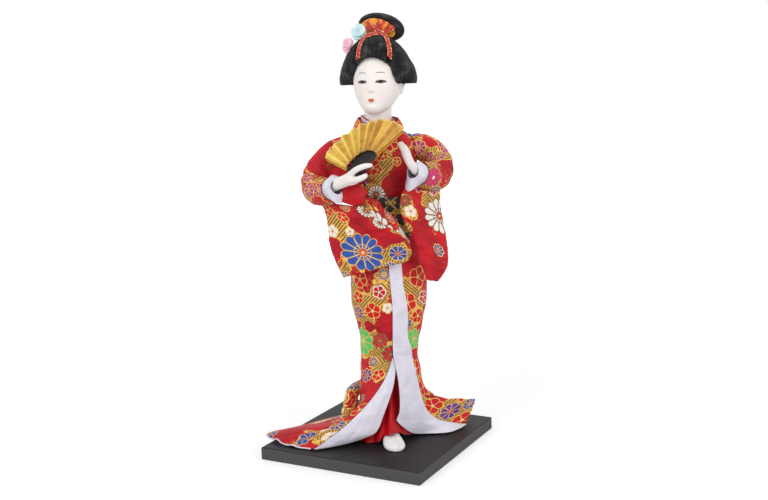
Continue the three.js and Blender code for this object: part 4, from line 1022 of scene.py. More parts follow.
def band(share, down):
    share, down = np.broadcast_arrays(share, down)
    free = smooth(BAND_FREE, np.minimum(down, BAND_CORNER))
    edge = smooth(BAND_EDGE, free[..., 2])[..., 0]
    tube = smooth(SKIRT_TUBE, free[..., 2])
    start = np.degrees(np.arcsin(np.clip((free[..., 0] - tube[..., 2]) / tube[..., 0], -1, 1)))
    lap = np.clip((85 - free[..., 2]) / 20, 0, 1)
    upper = around(SKIRT_TUBE, free[..., 2], -mix(start, edge + 4, share), FACING_GAP + lap)
    t = np.clip((down - BAND_TURN) / (1 - BAND_TURN), 0, 1)
    fold = skirt(1, mix(SKIRT_SPLIT, 1, t)) + stack(0.6 + 1.1 * (1 - t), -1.3, 0.3)
    line = free + (fold - free) * share[..., None]
    pull = np.clip((down - BAND_CORNER) / (1 - BAND_CORNER), 0, 1)[..., None]
    lower = line + (smooth(BAND_HEM, share) - line) * pull
    return np.where((down < BAND_TURN)[..., None], upper, lower)


def facing(name, points_at, columns, rows, node, rests_on, hem=None):
    share, down = shares(columns, rows)
    grid = points_at(share, down)
    u, v = arc_mm(grid)
    soft = np.sin(np.pi * share) * np.clip((grid[..., 2] - 2) / 6, 0, 1)
    grid = grid + grid_normals(grid, False) * (0.4 * wrinkles(u * 1.5, v, 2.0) * soft)[..., None]
    parts = [sheet_mesh(grid, SATIN, mm=(u, v))[:3]]
    if hem is not None:
        parts.append(tube_mesh(hem, [[0, 0.55, 0.5], [1, 0.45, 0.45]], 10, 200))
    points, faces, cloth = merged(parts)
    piece = mesh_piece(name, from_figure(points), faces, WHITE_SATIN, cloth)
    settle(piece, "doll", "white_satin", node)
    declare(grid)


hem_edge = skirt(np.linspace(0.012, 0.3, 40), 1.0) + np.array((0, 0, 0.1))
hem_edge[:, 2] = np.maximum(hem_edge[:, 2], 0.75)
hem_edge[:, :2] *= 1.006
facing(
    "white_facing_right_front", left_facing, 40, 120, "lining_right_front",
    ["kimono_skirt_cloth"], hem_edge,
)
facing("white_facing_left_front", band, 60, 220, "lining_left_front", ["kimono_skirt_cloth"])

# Padded hem roll. Rows are share along, share round the skirt, height, radius
ROLL = [
    [0, 0.21, 10.5, 4.2], [0.12, 0.225, 18, 5], [0.28, 0.27, 27, 4.8], [0.45, 0.38, 28, 4.4],
    [0.65, 0.55, 25, 4], [0.85, 0.72, 15, 3.6], [1, 0.8, 11, 2.6],
]


def on_skirt(share, height):
    low = smooth(TRAIN, share)[..., 3]
    drop = (KNEE_Z - height) / (KNEE_Z - low)
    down = SKIRT_SPLIT + (1 - SKIRT_SPLIT) * (1 - (1 - drop) ** (1 / SKIRT_EASE))
    along = skirt(share + 0.02, down) - skirt(share - 0.02, down)
    fall = skirt(share, down + 0.02) - skirt(share, down - 0.02)
    return skirt(share, down), normed(np.cross(along, fall))


def hem_roll():
    row = smooth(ROLL, np.linspace(0, 1, 23))
    at, normal = on_skirt(row[:, 0], row[:, 1])
    centres = at + normal * (row[:, 2] + 1.1)[:, None]
    radii = [[r[0], r[3], r[3]] for r in ROLL]

    def ripple(angle, along, t):
        end = np.clip(np.minimum(t, 1 - t) / 0.03, 0, 1)
        return 0.25 * wrinkles(along, angle * 9, 1.0) - 1.8 * (1 - end) ** 2

    points, faces, cloth = tube_mesh(centres, radii, 40, 240, ripple)
    piece = mesh_piece("padded_hem_roll", from_figure(points), faces, BROCADE, cloth)
    settle(piece, "doll", "brocade", "hem_roll")
    weave(piece, [("white_plum", 6, 14, 3), ("iris", -8, 30, 4)], clouds=[(0, 25, 22, 0.4)], seed=5)


hem_roll()

# Bodice and collars
BODICE_LOW = 160
BODICE_HIGH = 211.6
BODICE_OUT = CLEAR + 0.5 + 0.35
share, down = shares(180, 60, True)
degrees = 360 * share - 180
neckline = BODICE_HIGH - 7 * np.maximum(0, np.cos(np.radians(degrees))) ** 6
grid = around(CORE, mix(BODICE_LOW, neckline, down), degrees, BODICE_OUT)
u, v = arc_mm(grid)
grid = grid + grid_normals(grid, True) * (0.12 * wrinkles(u, v, 4.0))[..., None]
u = u - u[90:91]
bodice = sheet_piece("kimono_bodice_cloth", grid, 0.8, BROCADE, True, (u, v), -1)
settle(bodice, "doll", "brocade", "kimono_bodice")
weave(bodice, [
    ("plum", 1, 35, 2.8), ("plum", 5.5, 26, 3), ("white", 7, 9.5, 6), ("plum", 12, 33, 3.6),
    ("plum", -8, 31, 2.6),
], bare=[(-5, 15, 7), (-14, 8, 8), (-11, 24, 4.5), (-13, 37, 4)], clouds=[
    (0, 38, 6, 0.6), (-2, 31, 4.5, 0.6), (3, 26, 5, 0.5), (11, 19, 6, 0.7),
], seed=8)
declare(grid, closed=True)

NECK_RADIUS = 9.2
COLLAR_BASE = CORE_TOP + CLEAR
COLLAR_HEIGHT = 7.5


def under_collar(share, up):
    a = np.radians(mix(-24, 384, share))
    height = COLLAR_HEIGHT - 4.6 * np.maximum(0, np.cos(a)) ** 2 - 3.4 * np.maximum(0, -np.sin(a)) ** 3
    radius = NECK_RADIUS + 0.75 + share + 1.2 * up * height / COLLAR_HEIGHT
    return stack(NECK_X - radius * np.sin(a), -radius * np.cos(a), COLLAR_BASE + height * up)


grid = under_collar(*shares(160, 14))
white_collar = sheet_piece("white_under_collar", grid, 0.5, WHITE_SATIN)
settle(white_collar, "doll", "white_satin", "under_collar")

edge = under_collar(np.linspace(0, 1, 60), 1.0)
piping = tube_mesh(edge + np.array((0, 0, 0.6)), [[0, 0.38, 0.38], [1, 0.38, 0.38]], 10, 240)
red_piping = mesh_piece("red_collar_piping", from_figure(piping[0]), piping[1], RED_SATIN, piping[2])
settle(red_piping, "doll", "red_satin", "collar_piping")

CHEST = CORE[:9] + [[213, 11.6, 11.4, -2.7, 0], [222, 12, 12, -2.7, 0]]
# Rows are share along, degrees, height of the middle
COLLAR_PATH = [
    [0, -5, 202.5], [0.1, 20, 208], [0.22, 66, 215.2], [0.42, 180, 217], [0.6, 294, 214],
    [0.7, 340, 208], [0.78, 364, 201], [1, 392, 178.5],
]


def collar_middle(t):
    row = smooth(COLLAR_PATH, np.clip(t, 0, 1))
    return around(CHEST, row[..., 1], row[..., 0], (3.2 + 1.7 * t)), row[..., 0]


def kimono_collar(share, across):
    middle, degrees = collar_middle(share)
    ahead = collar_middle(share + 0.01)[0] - collar_middle(share - 0.01)[0]
    a = np.radians(degrees)
    out = stack(-np.sin(a), -np.cos(a), 0)
    side = normed(np.cross(out, ahead))
    crown = 0.5 * np.sin(np.pi * across)
    lean = 3.0 * (across - 0.5)
    return middle + side * ((across - 0.5) * 6.4)[..., None] + out * (crown + lean)[..., None]


share, across = shares(200, 14)
grid = kimono_collar(share, across)
collar = sheet_piece("kimono_collar_cloth", grid, 1.1, BROCADE)
settle(collar, "doll", "brocade", "kimono_collar")
weave(collar, [
    ("plum", 8, 3, 2.8), ("magenta", 17, 3.4, 3), ("plum", 27, 3, 3), ("plum", 104, 3, 3),
    ("magenta", 112, 3, 3),
], clouds=[(20, 3, 8, 0.4), (90, 3, 9, 0.4)], seed=13)

# Obi with its cord and the drum knot on the back
OBI_LOW = 141
OBI_HIGH = 167.5
OBI = [[OBI_LOW, 20.8, 16.9, 1.4, 0], [157, 19.9, 16, 1.5, 0], [OBI_HIGH, 20.1, 16.1, 1.5, 0]]


def obi_look():
    look = Look("obi_weave", Sheen_Weight=0.2)
    across, along, place = look.cloth_mm()
    a = (across + along) * 0.55
    b = (across - along) * 0.55
    lattice = look.step(a.sin().math("MINIMUM", b.sin()), -0.86, -0.92)
    dots = look.step(a.cos() * b.cos(), 0.62, 0.7)
    stripe = look.near(along - 16.5, 12.6, 12.9) * look.near(along - 16.5, 14.4, 14.1)
    gold = lattice.most(dots).most(stripe)
    worn = look.noise(place, 1.6, 3)
    color = look.blend(gold, srgb(24, 20, 20), look.blend(worn, GOLD, GOLD_DARK))
    raised = gold + worn * 0.3 + ((across + along * 0.4) * 8).sin() * 0.15
    return look.finished(color, 0.55 - gold * 0.15, raised, 0.0003, gold * 0.4)


OBI_LOOK = obi_look()
share, up = shares(180, 40, True)
grid = around(OBI, mix(OBI_LOW, OBI_HIGH, up), 360 * share)
u, v = arc_mm(grid)
crease = 0.35 * np.sin(v * 0.75) ** 8
grid = grid - grid_normals(grid, True) * crease[..., None] * 0.6
obi_band = sheet_piece("obi_band", grid, 1.4, OBI_LOOK, closed=True, mm=(u, v))
settle(obi_band, "doll", "obi_cloth", "obi")
declare(grid, closed=True)


def gold_cord_look():
    look = Look("gold_cord")
    across, along, place = look.cloth_mm()
    worn = look.noise(place, 1.1, 4, 0.6)
    thread = ((across + along * 0.6) * 7).sin()
    color = look.blend(look.step(worn, 0.35, 0.75), srgb(226, 178, 72), srgb(160, 108, 38))
    return look.finished(color, 0.34 + worn * 0.2, thread * 0.5 + worn, 0.00015, 0.6 - worn * 0.2)


# The obi's gold cord: strands laid round one another along a closed oval, in figure mm
OBI_MIDDLE = 157
row = smooth(OBI, OBI_MIDDLE)
cord_wide = row[0] + 0.7 + CLEAR + 0.9
cord_deep = row[1] + 0.7 + CLEAR + 1.0
CORD_STEPS = 240
CORD_SIDES = 8
CORD_SIZES = {
    "Middle X": row[2], "Middle Z": OBI_MIDDLE, "Half Width": cord_wide, "Half Depth": cord_deep,
    "Strands": 3, "Turns": 26, "Lay Radius": 0.42, "Strand Radius": 0.46,
}


def twisted_cord(material):
    """The Geometry Nodes tree of the cord, and the identifiers of its named inputs."""
    tree = bpy.data.node_groups.new("twisted_cord", "GeometryNodeTree")
    nodes = Nodes(tree)
    tree.interface.new_socket("Cord", in_out="OUTPUT", socket_type="NodeSocketGeometry")
    keys = [
        tree.interface.new_socket(label, in_out="INPUT", socket_type="NodeSocketFloat").identifier
        for label in CORD_SIZES
    ]
    given = nodes.add("NodeGroupInput")
    x, z, wide, deep, strands, turns, lay, radius = (given.out(k) for k in range(len(keys)))
    index = nodes.add("GeometryNodeInputIndex")
    ring, form = (
        nodes.add("GeometryNodeCurvePrimitiveCircle", None, {"Resolution": count})
        for count in (CORD_STEPS, CORD_SIDES)
    )
    pairs = {"Geometry": ring, "Amount": strands}
    copies = nodes.add("GeometryNodeDuplicateElements", {"domain": "SPLINE"}, pairs)
    cord = nodes.add("GeometryNodeCurveToMesh", None, {"Curve": copies, "Profile Curve": form})
    cord = nodes.add("GeometryNodeFlipFaces", None, [cord])
    # Points run round each strand, and ring by ring along it
    turn = (index / CORD_SIDES).math("FLOOR").math("MODULO", CORD_STEPS) * (2 * math.pi / CORD_STEPS)
    side = index.math("MODULO", CORD_SIDES) * (2 * math.pi / CORD_SIDES)
    strand = (index / (CORD_STEPS * CORD_SIDES)).math("FLOOR")
    twist = turn * turns + strand * (2 * math.pi) / strands
    out = twist.cos() * lay + side.cos() * radius
    up = twist.sin() * lay + side.sin() * radius
    at = nodes.join(x + (wide + out) * turn.cos(), (deep + out) * turn.sin(), z + up)
    cord = nodes.add("GeometryNodeSetPosition", None, {"Geometry": cord, "Position": at})
    pairs = {"Geometry": cord, "Name": "cloth", "Value": nodes.join(turn * wide, side * radius, 1.0)}
    cord = nodes.add("GeometryNodeStoreNamedAttribute", {"data_type": "FLOAT_VECTOR"}, pairs)
    cord = nodes.add("GeometryNodeSetShadeSmooth", None, [cord])
    cord = nodes.add("GeometryNodeRealizeInstances", None, [cord])
    cord = nodes.add("GeometryNodeSetMaterial", None, {"Geometry": cord, "Material": material})
    tree.links.new(cord.socket, tree.nodes.new("NodeGroupOutput").inputs[0])
    return tree, keys


GOLD_CORD = gold_cord_look()
obi_cord = mesh_piece("obi_cord_braid", [], [], GOLD_CORD)
laid = obi_cord.modifiers.new("cord", "NODES")
laid.node_group, keys = twisted_cord(GOLD_CORD)
for key, value in zip(keys, CORD_SIZES.values()):
    laid[key] = float(value)
bake(obi_cord)
set_vertices(obi_cord, from_figure(vertices_of(obi_cord)))
settle(obi_cord, "doll", "gold_cord", "obi_cord")

KNOT_WIDTH = 32
KNOT_HEIGHT = 30
KNOT_DEPTH = 11


def obi_knot():
    back = cord_deep + 0.9 + 0.4
    t = np.linspace(0, 1, 60)
    out = back + KNOT_DEPTH * 1.25
    y = back * (1 - t) ** 3 + 3 * out * t * (1 - t) ** 2 + 3 * out * t**2 * (1 - t) + back * t**3
    z = OBI_LOW + 4 + 3 * KNOT_HEIGHT * t**2 * (1 - t) + KNOT_HEIGHT * t**3
    flat_t = np.linspace(0, 1, 30)[1:-1]
    y = np.concatenate([y, back + 0 * flat_t])
    z = np.concatenate([z, OBI_LOW + 4 + KNOT_HEIGHT * (1 - flat_t)])
    middle = np.array((back + KNOT_DEPTH * 0.45, OBI_LOW + 4 + KNOT_HEIGHT / 2))
    across = np.linspace(-1, 1, 61)
    rim = np.clip((abs(across) - 0.93) / 0.07, 0, 1)
    pinch = 1 - 0.045 * (1 - abs(across)) ** 2 - 0.14 * rim**2
    grid = stack(
        row[2] + across * KNOT_WIDTH / 2,
        np.maximum(middle[0] + (y[:, None] - middle[0]) * pinch, back),
        middle[1] + (z[:, None] - middle[1]) * pinch,
    )
    dish = np.array((1.2, 0, 0))
    points, faces, _ = pole_body(grid, grid[:, 0].mean(0) + dish, grid[:, -1].mean(0) - dish)
    down_mm, across_mm = arc_mm(grid)
    cloth = stack(down_mm, across_mm, 1.0).reshape(-1, 3)
    cloth = np.vstack([cloth, cloth[:1], cloth[-1:]])
    piece = mesh_piece("obi_drum_knot", from_figure(points), faces, OBI_LOOK, cloth)
    settle(piece, "doll", "obi_cloth", "obi_knot")


obi_knot()

# Arms. The bags' edges are share down, x, y, z; sleeve stations are t, half width, half height
ARMS = {
    "right": {
        "path": [
            [-9, 1, 201], [-20, 2.2, 200.8], [-31, 3.2, 197], [-42, 2.5, 187], [-46, -5.5, 175.6],
            [-42, -16.5, 172.5], [-34.5, -27, 175.5],
        ],
        "wide": [
            [0, 8, 7.6], [0.2, 9, 8.6], [0.4, 9.8, 9.6], [0.6, 9.8, 9.8], [0.8, 9.4, 9.6], [1, 8.2, 8.2],
        ],
        "left": [
            [0, -42, -14, 166], [0.2, -39, -17, 156], [0.4, -38, -19, 147], [0.6, -37.3, -20.5, 138],
            [0.8, -34, -21.5, 127], [1, -29, -22, 115.5],
        ],
        "right": [
            [0, -14, -33.5, 163.5], [0.25, 0, -32.5, 151], [0.5, 10, -30.5, 145], [0.7, 15.3, -28.5, 138],
            [0.85, 17, -27, 132], [1, 14, -26.5, 126],
        ],
        "flap": [
            [0, -19.5, -29.5, 165.5], [0.12, -13.5, -26, 169], [0.33, -4, -24.5, 166.4],
            [0.48, -0.8, -24.5, 161.2], [0.68, 5.8, -25, 155.8], [0.84, 9.9, -26, 148.8],
            [1, 15.6, -28, 138.5],
        ],
        "web": [
            [0, -13, -14, 162], [0.35, -19, -15, 164], [0.7, -30, -16, 166], [1, -41, -15, 168],
        ],
        "fold": 1.6,
        "forearm": [[-37.5, -23, 174.2], [-31, -32, 177.8], [-25.5, -38.5, 181.2], [-22, -42, 183]],
        "palm": [4.2, 3],
        "fingers": [
            [3.9, [-30, -37.5, 179.8], [-25.5, -41.5, 181.6], [-22, -44.5, 183.6], [-18, -47.3, 185.6]],
            [
                2.0, [-25.5, -42.5, 183], [-20.2, -47.5, 187.2], [-16.6, -50.4, 189.9],
                [-12, -51.8, 191.6], [-6.8, -52, 192.3],
            ],
            [
                2.1, [-25, -42.5, 181], [-20.2, -47.5, 182.6], [-16.6, -50.4, 183.4],
                [-13.4, -52, 184.6], [-10.4, -53, 186.6],
            ],
            [1.8, [-25, -41.5, 180], [-20.5, -45.6, 181], [-16.4, -48.6, 182]],
        ],
        "cuff": {"flare": 1.4, "reach": 4.6, "at": 249, "along": 0.6, "out": 3.2, "wide": 40, "inward": 2},
        "seed": 0.4,
    },
    "left": {
        "path": [
            [9, 1, 200], [20, 2.1, 199.6], [31, 2.7, 196.5], [37.3, -1.6, 187], [34.5, -11, 180],
            [29, -18.5, 181], [23.5, -25, 183.5],
        ],
        "wide": [
            [0, 8, 7.6], [0.22, 9.4, 9], [0.4, 9.8, 9.8], [0.6, 9.4, 9.8], [0.8, 9.2, 9.6], [1, 8.4, 8.4],
        ],
        "left": [
            [0, 13.5, -26, 176], [0.2, 9.8, -27, 165], [0.4, 11.8, -27, 153], [0.6, 18, -26.5, 141],
            [0.8, 22.3, -25, 125], [1, 27, -23, 112.5],
        ],
        "right": [
            [0, 37, -10, 173], [0.2, 37.5, -14, 158], [0.4, 39.4, -16, 146], [0.6, 40.8, -17.5, 134],
            [0.8, 40.6, -18.5, 121], [1, 33.5, -21, 110.5],
        ],
        "fold": 1.2,
        "forearm": [[26, -22, 182.2], [21, -28, 185.8], [18, -31.5, 190], [16, -34, 194.5]],
        "palm": [3, 2.3],
        "fingers": [
            [2.9, [21, -29, 185.5], [17.4, -32.6, 191], [14.9, -34.6, 196.2], [12.6, -35.8, 201]],
            [1.5, [16.2, -33.2, 191.5], [13, -35.6, 199], [9.9, -36.6, 205.2]],
            [1.5, [17.2, -33.2, 192], [14.4, -35.4, 199.4], [11.6, -36.3, 205.6]],
            [1.4, [17.8, -32.6, 192], [16, -34.6, 198.6], [13.6, -35.4, 203.4]],
        ],
        "cuff": {"flare": 0.2, "reach": 4.6, "at": 287, "along": 0.6, "out": 6.6, "wide": 26, "inward": 2.5},
        "seed": 2.1,
    },
}
SLEEVE_WALL = 0.9
BODY_ROOM = BODICE_OUT + 0.5 + 2 * CLEAR


def solid_tube(table, low, high, offset):
    """A closed oval body over a table, for cutting."""
    z, degrees = np.broadcast_arrays(np.linspace(low, high, 31), np.degrees(full_turn(60)))
    return ring_body(around(table, z, degrees, offset))


TUBE_SHIFT = 200


def layer(grid, thick, u, v):
    """One layer of a sleeve, with brocade on both its sides."""
    points, faces, cloth, _ = sheet_mesh(grid, thick, mm=(u, v))
    cloth[:, 2] = 1.0
    return points, faces, cloth


def back_layer(arm):
    """The far layer of the sleeve's mouth, which stands up behind the near one."""
    t, rise = shares(90, 14)
    near = smooth(arm["right"], 0.72 * t) + np.array((0, 1.2, -2.5))
    grid = near + (smooth(arm["flap"], t) - near) * rise[..., None]
    grid[..., 1] += 0.8 * np.sin(np.pi * rise) - 0.25 * np.sin(t * 19)
    u, v = arc_mm(grid)
    return layer(grid, 1.6, u + TUBE_SHIFT, v - 2.5)


def arm_web(arm):
    """Cloth that hangs in folds between the upper arm, the body and the forearm."""
    s, down = shares(60, 40)
    upper = path_points(arm["path"], 121)[0][6:67] + np.array((0, -3, -3))
    grid = upper[:, None] + (smooth(arm["web"], s) - upper[:, None]) * down[..., None]
    folds = np.sin(13 * (s - 0.35 * down) + 1.0) * np.sin(np.pi * down) ** 0.7
    grid[..., 1] -= 1.5 * folds + 1.5 * np.sin(np.pi * down)
    u, v = arc_mm(grid)
    return layer(grid, 1.8, u - TUBE_SHIFT / 2, v)


def sleeve(name, arm):
    path = arm["path"]
    seed = arm["seed"]

    def ripple(angle, along, t):
        gather = np.exp(-((t - 0.12) / 0.1) ** 2) + 0.7 * np.exp(-((t - 0.62) / 0.14) ** 2)
        return (
            0.45 * wrinkles(along * 1.3, angle * 9, seed)
            + 0.55 * gather * np.sin(along * 1.15 + 1.2 * np.sin(2 * angle + seed))
        )

    outside = tube_mesh(path, arm["wide"], 56, 72, ripple)
    outside[2][:, 0] -= TUBE_SHIFT
    share, down = shares(70, 80)
    left, right = smooth(arm["left"], down), smooth(arm["right"], down)
    at = left + (right - left) * share[..., None]
    hang = np.sin(np.pi * np.minimum(1, down * 1.2) / 2)
    wave = arm["fold"] * np.sin(2.5 * np.pi * share) * hang
    at[..., 1] -= 2.0 * np.sin(np.pi * share) + wave
    u, v = arc_mm(at)
    at[..., 1] -= 0.6 * wrinkles(u, v, seed) * np.sin(np.pi * share)
    fill = np.sin(np.pi * share) * np.sin(np.pi * down) ** 0.5
    parts = [outside, layer(at, mix(1.6, 5.0, fill), u, v + 12)]
    if "flap" in arm:
        parts += [back_layer(arm), arm_web(arm)]
    line = np.array(path, float)
    ends = line[[1, -2]] + (line[[0, -1]] - line[[1, -2]]) * 1.4
    longer = np.vstack([ends[:1], line[1:-1], ends[1:]])
    thinner = [[t, w - SLEEVE_WALL, h - SLEEVE_WALL] for t, w, h in arm["wide"]]
    inside = tube_mesh(longer, thinner, 32, 40)
    body = solid_tube(CORE, BODICE_LOW, CORE_TOP, BODY_ROOM)
    piece = remeshed(f"{name}_sleeve_cloth", parts, SLEEVE_FACE, 3, BROCADE, cuts=[inside, body])
    settle(piece, "doll", "brocade", f"{name}_sleeve")
    weave(piece, *SLEEVE_PATTERN[name], seed=seed)
    # The bag's two layers, and the part of the tube that shows outside bag and bodice
    bag = surface_mm2(at) * 2 / 1e6
    tube = surface_mm2(outside[0].reshape(73, 56, 3)) * 0.6 / 1e6
    width, length = arc_mm(at)[0].max() * 2 / 1000, (arc_mm(at)[1].max() + 34) / 1000
    return piece


# Flowers, bare rounds and gold clouds of the sleeves
SLEEVE_PATTERN = {
    "right": (
        [
            ("great", 20.8, 48.1, 13.4), ("iris", 43, 55.1, 6), ("white_plum", 4.1, 32.5, 4.2),
            ("plum", 14.5, 22, 4), ("white_plum", 16.3, 33, 2.6), ("iris", 33.5, 63, 3.6),
            ("plum", 4, 18, 4), ("magenta", -204.9, 54, 5), ("magenta", -212.6, 65, 5.4),
            ("magenta", -212.6, 76, 4.6), ("plum", -222, 79, 4.2), ("iris", 2.5, 63.3, 3),
            ("white", 214, -7, 13), ("white", 238, -6, 13), ("magenta", -196, 66, 4), ("white", 35, 15.5, 6),
            ("white", 40.5, 27, 5.6),
        ],
        [
            (32.2, 38, 9), (24, 28, 6), (38, 42, 6), (3, 43, 5.5), (-197, 41.6, 6), (-198, 30, 6),
            (-192, 48, 6), (45, 44, 4), (-90, 12, 12), (-72, 8, 8),
        ],
        [(20.8, 48.1, 15, 0.4), (43, 55, 9, 0.5), (6, 26, 8, 0.5), (-206, 72, 10, 0.3)],
    ),
    "left": (
        [
            ("rose", -184.7, 61.7, 6.2), ("magenta", -214.8, 13.5, 5.4), ("magenta", -201.6, 37, 5),
            ("magenta", -199.5, 27.3, 5), ("magenta", -190, 73, 5), ("white", 28.5, 32, 12),
            ("iris", 16.5, 55, 4), ("leafy", 3, 22, 3.6), ("white_plum", 6.5, 29, 3.8),
            ("magenta", -206, 50, 4.4),
        ],
        [
            (17.6, 33, 5), (10, 43, 6), (3.5, 49.2, 5), (22, 55, 5), (-208.5, 20, 4),
            (-191.9, 43.5, 5), (10, 60, 6), (4, 72, 6), (14, 72, 7),
        ],
        [(17.4, 20, 5, 0.5), (-185, 62, 10, 0.6), (-213, 14, 8, 0.4), (-200, 32, 9, 0.4), (1, 40, 3, 0.6)],
    ),
}
for arm_name, arm in ARMS.items():
    sleeve(arm_name, arm)


def frame_along(path):
    """End of a path, its direction, and two axes square to it (the second points up)."""
    end = np.array(path[-1], float)
    ahead = normed(end - np.array(path[-2], float))
    side = normed(np.cross(ahead, (0, 0, 1)))
    return end, ahead, side, np.cross(side, ahead)


def cuff(name, arm):
    form = arm["cuff"]
    end, ahead, side, up = frame_along(arm["path"])
    mouth = arm["wide"][-1][1] - SLEEVE_WALL - 1.0
    a = full_turn(180)
    t = np.linspace(0, 1, 60)[None, :]
    tip = np.exp(-(((np.degrees(a) - form["at"] + 180) % 360 - 180) / form["wide"]) ** 2)
    # Out of the sleeve's mouth to the cuff's edge, then turned in toward the wrist
    edge = form["reach"] + form["along"] * tip
    out_t, in_t = np.minimum(t / 0.55, 1), np.clip((t - 0.55) / 0.45, 0, 1)
    along = mix(-4, edge, out_t) + form["inward"] * np.sin(in_t * np.pi / 2)
    open_t = np.clip((along - 0.5) / form["reach"], 0, 1.4) * (1 - in_t)
    folds = 0.55 * np.sin(4 * a + arm["seed"] * 3) + 0.25 * np.sin(9 * a + 1.3)
    radius = mouth + out_t**1.3 * form["flare"] + open_t * folds * (1 - tip)
    radius = mix(radius + form["out"] * tip * out_t**1.2, 4.6 + 0.3 * folds, in_t**0.8)
    grid = (
        end + ahead * along[..., None]
        + side * (radius * np.cos(a))[..., None] + up * (radius * np.sin(a))[..., None]
    )
    piece = sheet_piece(f"{name}_cuff_satin", grid, 0.55, WHITE_SATIN, closed=True)
    settle(piece, "doll", "white_satin", f"{name}_cuff")
    declare(grid, closed=True)


for arm_name, arm in ARMS.items():
    cuff(arm_name, arm)


def skin_look(name):
    look = Look(name, Subsurface_Weight=0.08, Subsurface_Scale=0.002, Specular_IOR_Level=0.4)
    look.shader.inputs["Subsurface Radius"].default_value = (1.0, 0.5, 0.35)
    *_, place = look.figure_mm()
    cloud = look.noise(place, 0.12, 2)
    tone = look.blend(cloud, srgb(241, 235, 231), srgb(236, 228, 223))
    return look, place, tone


def hand_look():
    look, place, tone = skin_look("hand_skin")
    fine = look.noise(place, 2.0, 3)
    return look.finished(tone, 0.42 + fine * 0.1, fine, 0.00004)


# Rows are share along a finger, share of its radius
FINGER = [[0, 1], [0.6, 0.95], [0.85, 0.8], [0.96, 0.55], [1, 0.2]]
HAND_SKIN = hand_look()
for arm_name, arm in ARMS.items():
    forearm = tube_mesh(arm["forearm"], [[0, 3.4, 3.4], [0.55, 2.9, 2.7], [1, *arm["palm"]]], 28, 24)
    parts = [forearm]
    for radius, *points in arm["fingers"]:
        taper = [[t, share * radius, share * radius] for t, share in FINGER]
        parts.append(tube_mesh(points, taper, 16, 24))
    piece = remeshed(f"{arm_name}_hand_cast", parts, HAND_FACE, 4, HAND_SKIN)
    settle(piece, "doll", "skin", f"{arm_name}_hand")

# Red lining that bulges out of the right sleeve's mouth
BULGE_SIZE = (8.4, 3.6, 6.6)
BULGE_AT = (-19.7, -30.6, 171.4)
BULGE_POWER = 2.6
a = full_turn(120)
b = np.linspace(-np.pi / 2, np.pi / 2, 62)[None, 1:-1]
round_sum = np.abs(np.cos(b)) ** BULGE_POWER + np.abs(np.sin(b)) ** BULGE_POWER
crease = 1 + 0.05 * np.sin(3 * a + 5 * b) + 0.035 * np.sin(7 * b - 2 * a)
swell = crease / np.maximum(round_sum, 0.1) ** (1 / BULGE_POWER)
unit = stack(np.cos(a) * np.cos(b), np.sin(a) * np.cos(b), np.sin(b))
pole = np.array((0, 0, BULGE_SIZE[2]))
points, faces, _ = pole_body(unit * swell[..., None] * BULGE_SIZE, -pole, pole)
points = points + np.array(BULGE_AT)
cloth = stack(points[:, 0], points[:, 2], 1.0)
bulge = mesh_piece("right_sleeve_lining_fold", from_figure(points), faces, RED_SATIN, cloth)
settle(bulge, "doll", "red_satin", "right_sleeve_lining")

# Folding fan, in a frame of its own: X along the right guard, Z out of its face
FAN_PIVOT = (-15.2, -46.2, 186.2)
FAN_RADIUS = 40
FAN_LEAF_START = 16.5
FAN_SPREAD = 108
FAN_LIFT = math.radians(40)
FAN_LEAN = math.radians(53)
STICKS = 11
STICK_PITCH = 0.55
FOLDS = 2 * (STICKS - 1)
fan_x = np.array((math.cos(FAN_LIFT), 0, math.sin(FAN_LIFT)))
fan_y = np.array((-math.sin(FAN_LIFT), 0, math.cos(FAN_LIFT))) * math.cos(FAN_LEAN)
fan_y[1] += math.sin(FAN_LEAN)
fan_z = np.cross(fan_x, fan_y)


def from_fan(points):
    p = np.asarray(points)
    return from_figure(FAN_PIVOT + p[:, 0:1] * fan_x + p[:, 1:2] * fan_y + p[:, 2:3] * fan_z)


def leaf_look():
    look = Look("fan_gold_paper", Specular_IOR_Level=0.6)
    fold, radius, _ = look.attribute("cloth")
    place = look.join(fold * 2, radius, 0.0)
    cloud = look.noise(place, 0.22, 3, 0.6)
    panel = look.add("ShaderNodeTexWhiteNoise", {"noise_dimensions": "1D"}, {"W": fold.math("FLOOR")})
    shaded_facets = look.step((fold * np.pi).sin(), -0.05, 0.05)
    inner = look.step(radius + cloud * 8 + panel * 4, 31, 18)
    crease = look.near((fold - 0.5).math("FRACT") - 0.5, 0.42, 0.5)
    # Painted light and shade on the pleats: the light gold is for facets facing the light, the dark gold for
    # facets turned away; every other facet and the far half of each of the rest go toward the dark gold,
    # more or less from panel to panel
    light = look.blend(look.step(cloud, 0.3, 0.7), srgb(255, 230, 110), srgb(254, 210, 70))
    dark = look.blend(look.step(cloud, 0.3, 0.7), srgb(196, 132, 14), srgb(156, 98, 8))
    turned = look.step(fold.math("FRACT"), 0.5, 0.7) * (0.5 + panel * 0.5)
    color = look.blend(shaded_facets.most(turned * 0.5) * (0.5 + panel * 0.5), light, dark)
    color = look.blend(inner * 0.5, color, srgb(128, 76, 18))
    color = look.blend(crease * 0.5, color, srgb(120, 78, 16))
    color = look.blend(look.step(radius, 38.9, 39.5) * 0.5, color, srgb(250, 226, 140))
    fibre = look.noise(look.join(fold * 14, radius * 0.8, 0.0), 1.2, 4, 0.6)
    return look.finished(color, 0.36 + cloud * 0.2, fibre, 0.00018, 0.14 - cloud * 0.08)


